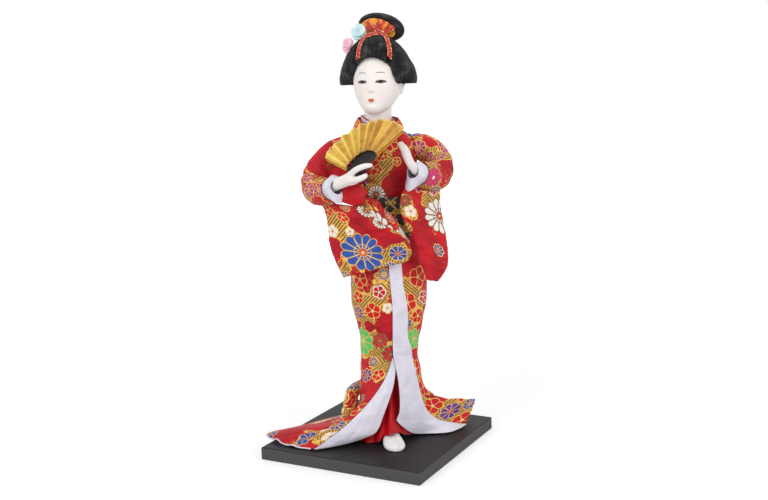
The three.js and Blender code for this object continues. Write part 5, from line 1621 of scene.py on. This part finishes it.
share, out = shares(FOLDS * 8, 36)
k = share * FOLDS
radius = mix(FAN_LEAF_START, FAN_RADIUS, out)
ridge = 1 - np.abs(k % 2 - 1)
uneven = 0.9 + 0.14 * np.sin(2.7 * np.floor(k / 2) + 0.6)
ridge = ridge * 2.5 * mix(0.5, 1, out) * uneven
base = ((STICKS - 1) / 2 - k / 2) * STICK_PITCH + 0.4 + CLEAR + 0.1
angle = math.radians(FAN_SPREAD) * k / FOLDS
flutter = 0.12 * np.sin(out * 7 + k * 2.2) * out
grid = stack(radius * np.cos(angle), radius * np.sin(angle), base + ridge + flutter)
leaf = sheet_piece("fan_gold_leaf", grid, 0.22, leaf_look(), mm=(k, radius), place=from_fan)
settle(leaf, "doll", "gold_paper", "fan_leaf")
declare(grid)


def fan_polar(look):
    """Share of the fan's spread and mm from its rivet."""
    *_, place = look.figure_mm()
    from_pivot = look.add("ShaderNodeVectorMath", {"operation": "SUBTRACT"}, [place, FAN_PIVOT])
    u, v = (
        look.add("ShaderNodeVectorMath", {"operation": "DOT_PRODUCT"}, [from_pivot, tuple(axis)], 1)
        for axis in (fan_x, fan_y)
    )
    return v.math("ARCTAN2", u) / math.radians(FAN_SPREAD), (u * u + v * v).root(), place


def lacquer_look():
    look = Look("fan_black_lacquer", Specular_IOR_Level=0.2)
    turn, radius, place = fan_polar(look)
    rib = abs((turn * (STICKS - 1)).math("FRACT") - 0.5)
    grain = look.noise(look.join(turn * 90, radius * 0.3, 0.0), 1.0, 4, 0.6)
    color = look.blend(grain, srgb(46, 42, 44), srgb(14, 12, 13))
    # Painted shade between the ribs: a near-black line at each stick's angle
    color = look.blend(look.step(rib, 0.3, 0.42), color, srgb(4, 3, 4))
    raised = grain + look.noise(place, 3.0, 2) * 0.3 - look.step(rib, 0.3, 0.5) * 2
    return look.finished(color, 0.34 + grain * 0.2, raised, 0.0001)


def gilt_wood_look():
    look = Look("fan_gilt_guard", Specular_IOR_Level=0.3)
    turn, radius, place = fan_polar(look)
    grain = look.noise(look.join(turn * 60, radius * 0.4, 0.0), 1.2, 4, 0.6)
    gilt = look.step(radius, FAN_LEAF_START - 0.6, FAN_LEAF_START + 0.2)
    color = look.blend(grain, srgb(236, 186, 66), srgb(150, 100, 26))
    color = look.blend(gilt, srgb(28, 24, 24), color)
    return look.finished(color, 0.34 + grain * 0.25, grain, 0.0001, gilt * (0.4 - grain * 0.2))


def bare_metal(name, stretch, scale, color, shade, metal, rough):
    """metal and rough are a level and what the wear adds to it."""
    look = Look(name)
    x, y, z, _ = look.object_mm()
    worn = look.noise(look.join(x * stretch[0], y * stretch[0], z * stretch[1]), scale, 3)
    color = look.blend(worn, color, shade)
    return look.finished(color, worn * rough[1] + rough[0], worn, 0.00005, worn * metal[1] + metal[0])


def foam_look():
    look = Look("body_foam")
    *_, place = look.object_mm()
    cells = look.add("ShaderNodeTexVoronoi", None, {"Vector": place, "Scale": 1.1})
    soft = look.noise(place, 0.3, 3)
    color = look.blend(soft, srgb(236, 228, 206), srgb(212, 200, 172))
    return look.finished(color, 0.85 + soft * 0.1, cells + soft, 0.0004)


def board_look():
    """Black board: a smooth satin top, and rough grey-black edges."""
    look = Look("black_board", Specular_IOR_Level=0.22)
    x, y, z, place = look.object_mm()
    top = look.step(z, 8.1, 8.5)
    grain = look.noise(look.join(x * 0.12, y * 0.12, z * 3.0), 1.6, 5, 0.65)
    speck = look.noise(place, 1.8, 4, 0.7)
    side = look.blend(look.step(speck, 0.35, 0.7), srgb(72, 70, 70), srgb(92, 90, 90))
    face = look.blend(look.step(speck, 0.3, 0.8), srgb(24, 22, 24), srgb(36, 34, 36))
    rough = 0.78 - top * 0.4 + grain * 0.1 + look.noise(place, 0.06, 3) * top * 0.12
    raised = speck * (1 - top * 0.85) + grain * 0.3
    return look.finished(look.blend(top, side, face), rough, raised, 0.00025)


# CAD nodes that stay in view get materials of their own
DRAWN_STEEL = bare_metal(
    "drawn_steel", (6, 0.4), 1.0, srgb(188, 188, 184), srgb(140, 140, 138), (0.95, -0.1), (0.28, 0.2),
)
RIVET_BRASS = bare_metal(
    "rivet_brass", (1, 1), 2.4, srgb(206, 162, 84), srgb(150, 110, 52), (0.9, -0.2), (0.25, 0.25),
)
for material, *names in (
    (lacquer_look(), *(f"fan_rib_{i:02d}" for i in range(1, STICKS - 1))),
    (gilt_wood_look(), "fan_guard_left", "fan_guard_right"),
    (DRAWN_STEEL, "support_rod", "right_arm_wire", "left_arm_wire"),
    (RIVET_BRASS, "fan_rivet"),
    (foam_look(), "body_core", "right_leg", "left_leg"),
    (board_look(), "base_board"),
):
    for node_name in names:
        materials = frame["nodes"][node_name].data.materials
        materials.clear()
        materials.append(material)

# Head, in the frame of the neck's axis. Rows are z, half width, front y, back y
HEAD_X = 1.2
HEAD_FORM = [
    [222.7, 3.4, -15, -7], [224.2, 6.4, -16.8, -3], [227, 9.8, -17.8, 3], [231, 12.6, -18.1, 8],
    [236, 14.9, -18.3, 12], [243, 16.3, -18.2, 14.5], [250, 16.4, -17.6, 15.5], [257, 15.1, -15.8, 15],
    [263, 12, -12.4, 12.5], [267, 7.4, -7.5, 8], [268.5, 2.6, -2.8, 3],
]
HAIR_FORM = [
    [242.2, 26.2, -9, 15], [244, 26.6, -11, 16.5], [247, 26.4, -13, 18], [253, 24.8, -15.6, 19],
    [258, 22, -17.9, 18.6], [263, 19.2, -17.6, 17], [268, 15, -14.8, 13], [272, 9.4, -10.6, 8],
    [274, 4, -6.5, 2],
]
EYE_X = 6.3
EYE_Z = 243.3
BROW_Z = 248.8
NOSE_Z = 238.2
MOUTH_Z = 231.7
ARCH_HALF = 14.4
ARCH_FOOT = 240
ARCH_TOP = 259.3


def oval_body(form, grow, steps, sides):
    z = np.linspace(form[0][0], form[-1][0], steps + 1)
    half, front, back = smooth(form, z).T
    a = full_turn(sides)
    y = mix(front - grow, back + grow, (1 - np.cos(a)) / 2)
    return ring_body(stack(HEAD_X + (half + grow) * np.sin(a), y, z))


def ellipsoid(size, at, sides=48, rows=32):
    a = full_turn(sides)
    b = np.linspace(-np.pi / 2, np.pi / 2, rows + 1)[None, 1:-1]
    grid = stack(np.cos(a) * np.cos(b), np.sin(a) * np.cos(b), np.sin(b)) * np.array(size) + np.array(at)
    pole = np.array((0, 0, size[2]))
    return pole_body(grid, at - pole, at + pole)


def round_rod(radius, low, high, sides=64):
    a = full_turn(sides)
    return ring_body(stack(radius * np.cos(a), radius * np.sin(a), np.linspace(low, high, 40)))


def face_relief(points):
    """Millimetres that the face stands forward of its plain oval, in the head's frame."""
    x = points[:, 0] - HEAD_X
    z = points[:, 2]
    side = np.abs(x)
    bridge = np.clip((247 - z) / (247 - NOSE_Z), 0, 1) ** 1.6 / (1 + np.exp(-(z - NOSE_Z + 1.0) / 0.32))
    nose = 1.25 * bridge * hump(x, 0, 1.25 + 0.35 * hump(z, NOSE_Z, 1.5))
    wings = 0.3 * hump(side, 1.7, 0.7) * hump(z, NOSE_Z + 0.1, 0.9)
    sockets = -0.4 * hump(side, EYE_X, 3.6) * hump(z, EYE_Z + 0.6, 2.4)
    lids = 0.3 * hump(side, EYE_X, 2.9) * hump(z, EYE_Z + 1.5, 0.75)
    lips = 0.62 * hump(x, 0, 2.3) * (hump(z, MOUTH_Z + 0.75, 0.7) + 0.95 * hump(z, MOUTH_Z - 0.75, 0.7))
    parting = -0.2 * hump(x, 0, 2.2) * hump(z, MOUTH_Z, 0.3)
    philtrum = -0.16 * hump(x, 0, 0.6) * hump(z, 233.9, 0.9)
    chin = 0.6 * hump(x, 0, 3.6) * hump(z, 226.4, 1.9) - 0.35 * hump(x, 0, 3.4) * hump(z, 229.2, 0.9)
    cheeks = 0.35 * hump(side, 8.4, 4) * hump(z, 236, 4)
    return nose + wings + sockets + lids + lips + parting + philtrum + chin + cheeks


def face_look():
    """Painted face on pale skin, with a painted shadow under the nose; the marks are drawn in head mm."""
    look, place, tone = skin_look("face_skin")
    x, y, z, _ = look.head_mm()
    front = look.step(y, -6, -9)
    dx = x - HEAD_X
    side = abs(dx)
    e = side - EYE_X
    blush = look.step((e * e * 0.9 + (z - 237.5) * (z - 237.5)).root(), 7.5, 1.0)
    color = look.blend(blush * 0.16, tone, srgb(238, 205, 200))
    # Painted shadow under the nose: a grey-brown patch just below its tip
    shade = look.near(dx, 2.2, 0.6) * look.near(z - (NOSE_Z - 1.3), 1.1, 0.3)
    color = look.blend(shade * front * 0.22, color, srgb(176, 160, 154))
    # Eyes: an almond with a dark lid line, a pale corner each side and a brown iris
    bow = 1 - (e / 3.2) * (e / 3.2)
    upper = EYE_Z + 0.9 * bow
    lower = EYE_Z - 0.62 * bow
    almond = look.step(upper - z, -0.08, 0.08) * look.step(z - lower, -0.08, 0.08) * look.step(bow, 0, 0.03)
    up = z - EYE_Z - 0.1
    from_eye = (e * e + up * up).root()
    iris = look.step(from_eye, 1.72, 1.5)
    pupil = look.step(from_eye, 0.95, 0.8)
    lid_z = EYE_Z + 0.95 * (1 - (e / 3.5) * (e / 3.5))
    lid = look.near(z - lid_z, 0.62, 0.42) * look.near(e - 0.1, 3.5, 3.25)
    low_lid = look.near(z - lower, 0.3, 0.14) * look.near(e, 3.1, 2.6)
    ball = look.blend(iris, srgb(204, 190, 190), srgb(58, 28, 26))
    ball = look.blend(pupil, ball, srgb(16, 10, 12))
    color = look.blend(almond * front, color, ball)
    color = look.blend(low_lid * front * 0.85, color, srgb(58, 36, 36))
    color = look.blend(lid * front, color, srgb(16, 8, 10))
    # Brows, thin arcs that fade outward
    brow_z = BROW_Z + 0.8 * (1 - ((side - 6.1) / 3.6) * ((side - 6.1) / 3.6))
    brow = look.near(z - brow_z, 0.38, 0.12) * look.near(side - 6.1, 3.6, 2.0)
    color = look.blend(brow * front * 0.85, color, srgb(70, 60, 60))
    # Mouth, a small heart
    lip_x = dx / 2.25
    lip_top = MOUTH_Z + 1.45 * (1 - lip_x * lip_x) - 0.45 * look.near(dx, 0.9, 0.0)
    lip_low = MOUTH_Z - 1.5 * (1 - abs(lip_x) ** 1.6)
    lips = look.step(lip_top - z, -0.12, 0.12) * look.step(z - lip_low, -0.12, 0.12)
    lips = lips * look.near(lip_x, 1.0, 0.94)
    line = look.near(z - MOUTH_Z - 0.12, 0.26, 0.1)
    paint = look.blend(line * 0.6, srgb(204, 104, 62), srgb(140, 56, 34))
    color = look.blend(lips * front, color, paint)
    # Fine grey strokes of painted hair below the hairline
    rise = (z - ARCH_FOOT) / (ARCH_TOP - ARCH_FOOT)
    arch = ((dx / ARCH_HALF) * (dx / ARCH_HALF) + rise * rise).root()
    ray = rise.math("ARCTAN2", dx / ARCH_HALF)
    strokes = look.noise(look.join(ray * 26, arch * 3.0, 0.0), 1.0, 2, 0.6)
    reach = look.step(arch, 0.82, 1.0) * look.step(z, 247, 252)
    strokes = look.step(strokes, 0.5, 0.66) * reach
    color = look.blend(strokes * front * 0.6, color, srgb(120, 116, 118))
    return look.finished(color, 0.46 - lips * 0.12, look.noise(place, 1.6, 3), 0.00003)


def ear(side, grow=0.0):
    size = (2.2 + grow, 4.0 + grow, 4.6 + grow)
    return ellipsoid(size, (HEAD_X + side * 14.7, 1, 239.6), 24, 16)


head_parts = [
    oval_body(HEAD_FORM, 0, 80, 96),
    round_rod(NECK_RADIUS, COLLAR_BASE, 230),
    round_rod(6, CORE_TOP - 16, 220),
    ear(-1),
    ear(1),
]
head = remeshed("head_cast", head_parts, HEAD_FACE, 4, face_look(), place=from_head)
points = to_head(vertices_of(head))
forward = np.clip((-points[:, 1] - 6) / 5, 0, 1)
points[:, 1] -= face_relief(points) * forward
set_vertices(head, from_head(points))
settle(head, "head", "skin", "head")


def hair_look():
    """Glossy black hair with grey highlights painted into its colour: cloth mm give the place across the
    strands and along them.
    """
    look = Look("black_hair", Specular_IOR_Level=0.16)
    across, along, _ = look.cloth_mm()
    strand = look.noise(look.join(across * 1.5, along * 0.08, 0.0), 1.0, 5, 0.75)
    lock = look.noise(look.join(across * 0.8, along * 0.05, 0.0), 1.0, 2, 0.5)
    painted_highlight = look.noise(look.join(across * 0.12, along * 0.16, 3.0), 1.0, 2)
    color = look.blend(look.step(strand, 0.3, 0.75), srgb(4, 4, 5), srgb(22, 22, 24))
    # Painted highlight: broad soft grey bands over the strands stand in for the hair's gloss
    color = look.blend(look.step(painted_highlight * 0.5 + strand * 0.5, 0.5, 0.62) * 0.75, color, srgb(78, 78, 82))
    return look.finished(color, 0.3 + strand * 0.25, strand + lock * 2, 0.0006)


HAIR = hair_look()
PART = 10.5
FRONT_END = -1
BACK_START = 8
KNOT_SIZE = np.array((16.2, 8, 9.4))
KNOT_AT = np.array((HEAD_X - 0.6, 12.5, 279.4))
KNOT_TILT = 13
KNOT_RIM = np.array((3, 1, 1.6))
KNOT_OPEN = (-1, -6, -2)


def from_knot(points):
    """Points of the topknot's own frame, which leans to the wearer's left."""
    return turned_about_y(np.asarray(points, float), KNOT_TILT) + KNOT_AT


def to_knot(points):
    return turned_about_y(np.asarray(points, float) - KNOT_AT, -KNOT_TILT)


def turned_about_y(p, degrees):
    a = math.radians(degrees)
    x, z = p[..., 0], p[..., 2]
    return stack(x * math.cos(a) + z * math.sin(a), p[..., 1], z * math.cos(a) - x * math.sin(a))


def knot_ball(size, at=(0, 0, 0), sides=120, rows=80):
    points, faces, cloth = ellipsoid(size, at, sides, rows)
    return from_knot(points), faces, cloth


FAR = 60


def block(left, right, front=-FAR, back=FAR):
    """A box that cuts the whole height of the hair."""
    corners = [(x, y, z) for x in (left, right) for y in (front, back) for z in (200, 320)]
    faces = [[0, 1, 3, 2], [4, 6, 7, 5], [0, 4, 5, 1], [2, 3, 7, 6], [0, 2, 6, 4], [1, 5, 7, 3]]
    points = np.array(corners, float)
    return points, outward(points, faces), np.zeros((8, 3))


def arch_room():
    """The opening of the hair round the face."""
    a = np.linspace(0, np.pi, 81)
    z = ARCH_FOOT + (ARCH_TOP - ARCH_FOOT) * np.sin(a)
    left_most = 12.2 + 2.6 * np.clip((251 - z) / 6, 0, 1)
    x = HEAD_X + np.where(np.cos(a) > 0, np.minimum(16 * np.cos(a), left_most), ARCH_HALF * np.cos(a))
    points = np.vstack([stack(x, -40, z), stack(x, -4, z)])
    faces = [[k, (k + 1) % 81, (k + 1) % 81 + 81, k + 81] for k in range(81)]
    faces += [list(range(81))[::-1], list(range(81, 162))]
    return points, outward(points, faces), np.zeros((162, 3))


DOME = oval_body(HAIR_FORM, 0, 90, 200)
x, y, z = DOME[0].T
beside = np.clip((x - HEAD_X - 9) / 4, 0, 1) * np.clip((HEAD_X + 25 - x) / 7, 0, 1)
y -= 2.8 * beside * np.clip((252 - z) / 6, 0, 1) * (y < 0)
x += -0.9 - 0.7 * np.clip((250 - z) / 8, 0, 1) * (x < HEAD_X - 15)
ROOMS = [
    oval_body([[z + (0.4 if z > 260 else 0), *row] for z, *row in HEAD_FORM], CLEAR, 70, 96),
    ear(-1, CLEAR), ear(1, CLEAR), round_rod(NECK_RADIUS + CLEAR, COLLAR_BASE, 230),
    knot_ball(KNOT_SIZE + CLEAR),
]


def hair_piece(name, node, parts, cuts, rounds, coordinates, groove, ragged=0.0):
    """Hair cut from the dome, its edges rounded, with grooves that follow its strands."""
    piece = remeshed(name, parts, HAIR_FACE, rounds, HAIR, place=from_head, cuts=cuts, plain=True)
    points = to_head(vertices_of(piece))
    across, along = coordinates(points)
    normals = np.array([v.normal for v in piece.data.vertices])
    depth = groove * (
        np.sin(across * 2.1 + 0.8 * np.sin(along * 0.21 + across * 0.3))
        + 0.6 * np.sin(across * 4.7 + 1.3 * np.sin(along * 0.13))
        + 0.5 * np.sin(across * 0.83 + 2.0)
    )
    moved = points + turn_about_z(normals, -FIGURE_TURN - HEAD_TURN) * depth[:, None]
    low = np.clip((247 - points[:, 2]) / 4, 0, 1)
    moved[:, 2] += ragged * low * (np.sin(across * 3.3) + 0.7 * np.sin(across * 7.1 + 1))
    set_vertices(piece, from_head(moved))
    write_attribute(piece.data, "cloth", stack(across, along, 1.0))
    settle(piece, "head", "hair", node)
    return piece


def front_strands(p):
    return p[:, 0] - HEAD_X, p[:, 2] + p[:, 1] * 0.6


def wing_strands(p):
    turn = np.arctan2(p[:, 1] + 2, np.abs(p[:, 0] - HEAD_X))
    return turn * 22, p[:, 2]


def back_strands(p):
    return p[:, 0] - HEAD_X, p[:, 2]


def knot_strands(p):
    k = to_knot(p)
    return np.hypot(k[:, 0] / 1.6, k[:, 2]) * 1.4 + k[:, 1] * 0.9, np.arctan2(k[:, 2], k[:, 0] / 1.6) * 11


DOME_HAIR = [hair_piece("front_roll_hair", "hair_front_roll", [DOME], [
    *ROOMS, arch_room(), block(-FAR, HEAD_X - PART), block(HEAD_X + PART, FAR),
    block(-FAR, FAR, front=FRONT_END),
], 7, front_strands, 0.08)]
for side, side_name in ((-1, "right"), (1, "left")):
    inner, outer = sorted((side * (CLEAR / 2), -side * FAR))
    DOME_HAIR.append(hair_piece(f"{side_name}_wing_hair", f"hair_{side_name}_wing", [DOME], [
        *ROOMS, arch_room(), block(HEAD_X + inner, HEAD_X + outer),
        block(HEAD_X - PART - CLEAR, HEAD_X + PART + CLEAR, back=FRONT_END + CLEAR),
        block(-FAR, FAR, front=BACK_START - CLEAR),
    ], 2, wing_strands, 0.1, 0.28))
nape = ellipsoid((14, 7.5, 11.5), (HEAD_X, 13.5, 242), 60, 40)
hair_piece("back_hair", "hair_back", [DOME, nape], [
    *ROOMS, block(-FAR, FAR, back=BACK_START),
], 3, back_strands, 0.1, 0.28)
hair_piece("topknot_hair", "topknot", [knot_ball(KNOT_SIZE)], [
    knot_ball(KNOT_SIZE - KNOT_RIM, KNOT_OPEN),
], 2, knot_strands, 0.07)


def knot_cloth_look():
    """Orange crepe with red folds that fan out from the lower middle, and gold spots."""
    look = Look("topknot_crepe", Sheen_Weight=0.2)
    x, z, y = look.attribute("cloth")
    ray = (z + 6.5).math("ARCTAN2", x - 3.5)
    place = look.join(x, z, y)
    inward = (((x + 1) / 13) * ((x + 1) / 13) + ((z + 1.6) / 7.6) * ((z + 1.6) / 7.6)).root()
    fold = look.noise(look.join(ray * 4.2, inward * 0.8, 0.0), 1.0, 2, 0.5)
    red = look.step(fold - inward * 0.1, 0.4, 0.45)
    dark = look.step(look.noise(look.join(ray * 7, 3.0, 0.0), 1.0, 1), 0.5, 0.6)
    spot = look.add("ShaderNodeTexVoronoi", None, {"Vector": place, "Scale": 0.7})
    gold = look.step(spot, 0.3, 0.22)
    fleck = look.step(look.noise(place, 1.3, 2), 0.56, 0.62)
    cloud = look.noise(place, 0.5, 3)
    color = look.blend(cloud, srgb(246, 176, 24), srgb(224, 140, 14))
    color = look.blend(fleck * 0.7, color, srgb(206, 72, 22))
    crimson = look.blend(dark, srgb(206, 40, 20), srgb(140, 14, 10))
    color = look.blend(red, color, crimson)
    color = look.blend(gold * 0.7, color, srgb(240, 170, 60))
    raised = gold * 0.6 + fold * 1.5 + cloud
    return look.finished(color, 0.55 - gold * 0.15, raised, 0.0003, gold * 0.3)


knot_cloth = remeshed(
    "topknot_cloth_puff", [knot_ball(KNOT_SIZE - KNOT_RIM - CLEAR - 0.1, KNOT_OPEN)], HEAD_FACE, 1,
    knot_cloth_look(), place=from_head, keep=knot_ball(KNOT_SIZE - 0.1), plain=True,
)
points = to_knot(to_head(vertices_of(knot_cloth)))
ray = np.arctan2(points[:, 2] + 6.5, points[:, 0] - 3.5)
away = np.clip(np.hypot(points[:, 2] + 6.5, points[:, 0] - 3.5) / 7, 0, 1)
front = np.clip(-points[:, 1] / 4, 0, 1)
points[:, 1] += 0.4 * np.sin(ray * 13 + 1.1 * np.sin(ray * 4)) * away * front
set_vertices(knot_cloth, from_head(from_knot(points)))
write_attribute(knot_cloth.data, "cloth", stack(points[:, 0], points[:, 2], points[:, 1]))
settle(knot_cloth, "head", "hair_cloth", "topknot_cloth")


def ribbon_look():
    look = Look("red_gold_ribbon", Sheen_Weight=0.03)
    across, along, place = look.cloth_mm()
    edge = look.near(across - 1.6, 0.8, 1.1)
    flake = look.add("ShaderNodeTexVoronoi", None, {"Vector": place, "Scale": 1.0})
    shade = look.noise(place, 0.8, 3)
    flake_glint = look.step(flake, 0.42, 0.3)
    gold = edge * (flake_glint * 0.7 + 0.3)
    gold = gold.most(look.step(flake, 0.2, 0.12) * 0.6)
    color = look.blend(shade, srgb(206, 34, 16), srgb(158, 14, 10))
    # The gold flakes are the ribbon's own thread; their pale cream centres are painted glints
    color = look.blend(gold, color, look.blend(flake_glint, srgb(226, 120, 50), srgb(255, 238, 190)))
    raised = flake * gold * 2 + (along * 6).sin() * 0.4
    return look.finished(color, 0.5 - gold * 0.2, raised, 0.0002, gold * 0.45)


RIBBON = ribbon_look()
RIBBON_WIDE = 3.2
RIBBON_LONG = 40
RIBBON_PATHS = {
    "right": [
        [13.3, -14.9, 258.5], [13.4, -14.1, 262], [12.5, -11.8, 266.5], [10.8, -9, 269.8],
        [8.1, -5.8, 272.6], [5.2, -3, 274.6], [-1.2, 4.4, 277.8], [-4.6, 4.6, 280.2],
        [-7.6, 5.7, 283.2],
    ],
    "left": [
        [-6.9, -16.7, 258.5], [-6.7, -16.2, 262.8], [-6.2, -13.2, 267.8], [-5.2, -10, 271],
        [-3.1, -8, 272.7], [0, -7.4, 273.6], [2.5, -3, 274.2], [5.4, 5.1, 275.4],
        [8.3, 5.3, 276.9], [11.2, 6.2, 279],
    ],
}


def drape(grid, normal):
    """How far to lift each row of a strip along its normal to lie on hair and cloth."""
    under = []
    for piece in (*DOME_HAIR, knot_cloth):
        corners = [Vector(p) for p in to_head(vertices_of(piece))]
        under.append(BVHTree.FromPolygons(corners, [f.vertices for f in piece.data.polygons]))
    lift = np.full(len(grid), -9.0)
    for i, row in enumerate(grid):
        for at in row[::3]:
            start = Vector(at + normal[i] * 12)
            for tree in under:
                distance = tree.ray_cast(start, Vector(-normal[i]))[3]
                if distance is not None:
                    lift[i] = max(lift[i], 12 - distance)
    near = np.array([lift[max(0, i - 2):i + 3].max() for i in range(len(lift))])
    soft = np.convolve(np.pad(near, 4, "edge"), np.ones(9) / 9, "valid")
    return np.clip(np.maximum(soft, lift), -3, 5)[:, None, None]


def ribbon(name, path, slant, lift):
    """A narrow strip over hair and topknot cloth, its lower end cut on the slant."""
    centres, ahead = path_points(path, 100)
    dome = normed(centres - np.array((0.6, 4, 262)))
    high = np.clip((centres[:, 2:] - 272) / 4, 0, 1)
    normal = mix(dome, np.array((0, -1, 0.25)), high)
    normal = normed(normal - (normal * ahead).sum(1)[:, None] * ahead)
    side = np.cross(ahead, normal)
    w = np.linspace(-0.5, 0.5, 16)[None, :, None]
    run = np.linspace(0, 1, 100)[:, None, None]
    wave = 0.3 * np.sin(run * 17) * (1 - 4 * w * w) + lift * np.exp(-((run - 0.62) / 0.14) ** 2)
    grid = centres[:, None] + side[:, None] * w * RIBBON_WIDE * mix(1, 0.8, run)
    grid = grid - ahead[:, None] * w * slant * (1 - run) ** 12
    high = drape(grid, normal)
    grid = grid + normal[:, None] * (high + 0.32 + wave)[..., 0:1]
    piece = sheet_piece(name, grid, 0.42, RIBBON, place=from_head)
    cloth = stack((w + 0.5) * RIBBON_WIDE, run * RIBBON_LONG, 1).reshape(-1, 3)
    write_attribute(piece.data, "cloth", np.concatenate([cloth, cloth]))
    settle(piece, "head", "ribbon", name.replace("_strip", ""))


ribbon("hair_ribbon_right_strip", RIBBON_PATHS["right"], 2.2, 0.9)
ribbon("hair_ribbon_left_strip", RIBBON_PATHS["left"], -1.4, 0.1)


def rose(name, node, slot, colors, radius, height, at, facing, squeeze):
    """A rose of folded ribbon, rolled from the heart outward in soft overlapping turns."""
    look = Look(f"{name}_satin", Sheen_Weight=0.2, Specular_IOR_Level=0.3)
    across, along, _ = look.cloth_mm()
    soft = look.noise(look.join(across * 0.4, along * 0.3, 0.0), 0.9, 3)
    color = look.blend(look.step(soft, 0.3, 0.7), *colors)
    look.finished(color, 0.45 + soft * 0.15, soft + (along * 4).sin() * 0.05, 0.00015)
    turns = 2.8
    t = np.linspace(0, 1, 60)
    a = 2 * np.pi * turns * t
    r = (radius - 1.5) * t**0.8 + 0.3 * np.sin(a * 1.5) * t
    path = stack(r * np.cos(a) * squeeze, r * np.sin(a), height * mix(0.72, 0.3, t**1.5))
    sizes = [[0, 0.7, 1.1], [0.3, 0.85, 1.5], [0.7, 1.1, 1.7], [0.95, 1.3, 1.5], [1, 0.5, 0.8]]

    def ripple(angle, length, t):
        return 0.1 * np.sin(length * 0.6 + 2 * angle)

    roll = tube_mesh(path, sizes, 22, 340, ripple)
    disc = ellipsoid((radius * 0.8 * squeeze, radius * 0.8, height * 0.32), (0, 0, height * 0.3), 40, 20)
    points, faces, cloth = merged([roll, disc])
    up = Vector((0, 0, 1)).rotation_difference(Vector(facing).normalized()).to_matrix()
    points = points @ np.array(up).T + np.array(at)
    piece = mesh_piece(name, from_head(points), faces, look.material, cloth)
    settle(piece, "head", slot, node)


rose(
    "blue_ribbon_rose", "blue_rose", "blue_ribbon", (srgb(186, 222, 226), srgb(222, 240, 242)),
    6.2, 4.2, (-9.9, -3.2, 276), (-0.1, -0.93, 0.3), 1,
)
rose(
    "pink_ribbon_rose", "pink_rose", "pink_ribbon", (srgb(236, 168, 196), srgb(248, 208, 224)),
    6.2, 4, (-16.9, -3.6, 267.4), (-0.5, -0.8, 0.28), 0.92,
)


# Room: a white floor, soft light from above and two large lamps
def straight_rays(room):
    """1 for rays from the camera, a mirror or glass, 0 for the light on the object."""
    ray = room.add("ShaderNodeLightPath")
    return ray.most(ray.out(3)).most(ray.out(6))


def floor():
    look = Look("studio_floor")
    x, y, _, place = look.object_mm()
    soft = look.noise(place, 0.004, 2)
    far = look.step((x * x + y * y).root(), 250, 1500)
    look.feed("Base Color", look.blend(soft, srgb(206, 206, 206), srgb(200, 200, 200)))
    look.feed("Roughness", 0.9 + soft * 0.05)
    look.feed("Emission Color", look.blend(far, (0.46, 0.46, 0.46, 1), (0.84, 0.84, 0.84, 1)))
    look.shader.inputs["Emission Strength"].default_value = 1
    dull = look.add("ShaderNodeBsdfDiffuse", None, {"Color": (0.72, 0.72, 0.72, 1)})
    shown = Value(look, look.shader.outputs[0])
    both = look.add("ShaderNodeMixShader", None, [straight_rays(look), dull, shown])
    look.tree.links.new(both.socket, look.end.inputs[0])
    corners = [(-6, -6, 0), (6, -6, 0), (6, 6, 0), (-6, 6, 0)]
    piece = mesh_piece("floor", corners, [(0, 1, 2, 3)], look.material)


def world():
    made = bpy.data.worlds.new("room")
    bpy.context.scene.world = made
    made.use_nodes = True
    room = Nodes(made.node_tree)
    made.node_tree.nodes.clear()
    seen = room.add("ShaderNodeBackground", None, [(1, 1, 1, 1), 1.0])
    light = room.add("ShaderNodeBackground", None, [(1, 1, 1, 1), 0.64])
    both = room.add("ShaderNodeMixShader", None, [straight_rays(room), light, seen])
    end = made.node_tree.nodes.new("ShaderNodeOutputWorld")
    made.node_tree.links.new(both.socket, end.inputs[0])


def lamp(name, at, toward, size, power):
    data = bpy.data.lights.new(name, "AREA")
    data.shape = "RECTANGLE"
    data.size, data.size_y = size
    data.energy = power
    made = bpy.data.objects.new(name, data)
    made.location = at
    aim = Vector(toward) - Vector(at)
    made.rotation_mode = "QUATERNION"
    made.rotation_quaternion = aim.to_track_quat("-Z", "Y")
    bpy.context.scene.collection.objects.link(made)


floor()
world()
lamp("key", (-0.25, -0.95, 0.75), (0, 0, 0.16), (0.7, 0.7), 4.7)
lamp("fill", (0.95, -0.35, 0.45), (0, 0, 0.16), (0.6, 0.8), 3.2)
lamp("top", (0.1, 0.25, 1.0), (0, 0, 0.2), (0.6, 0.6), 1.1)
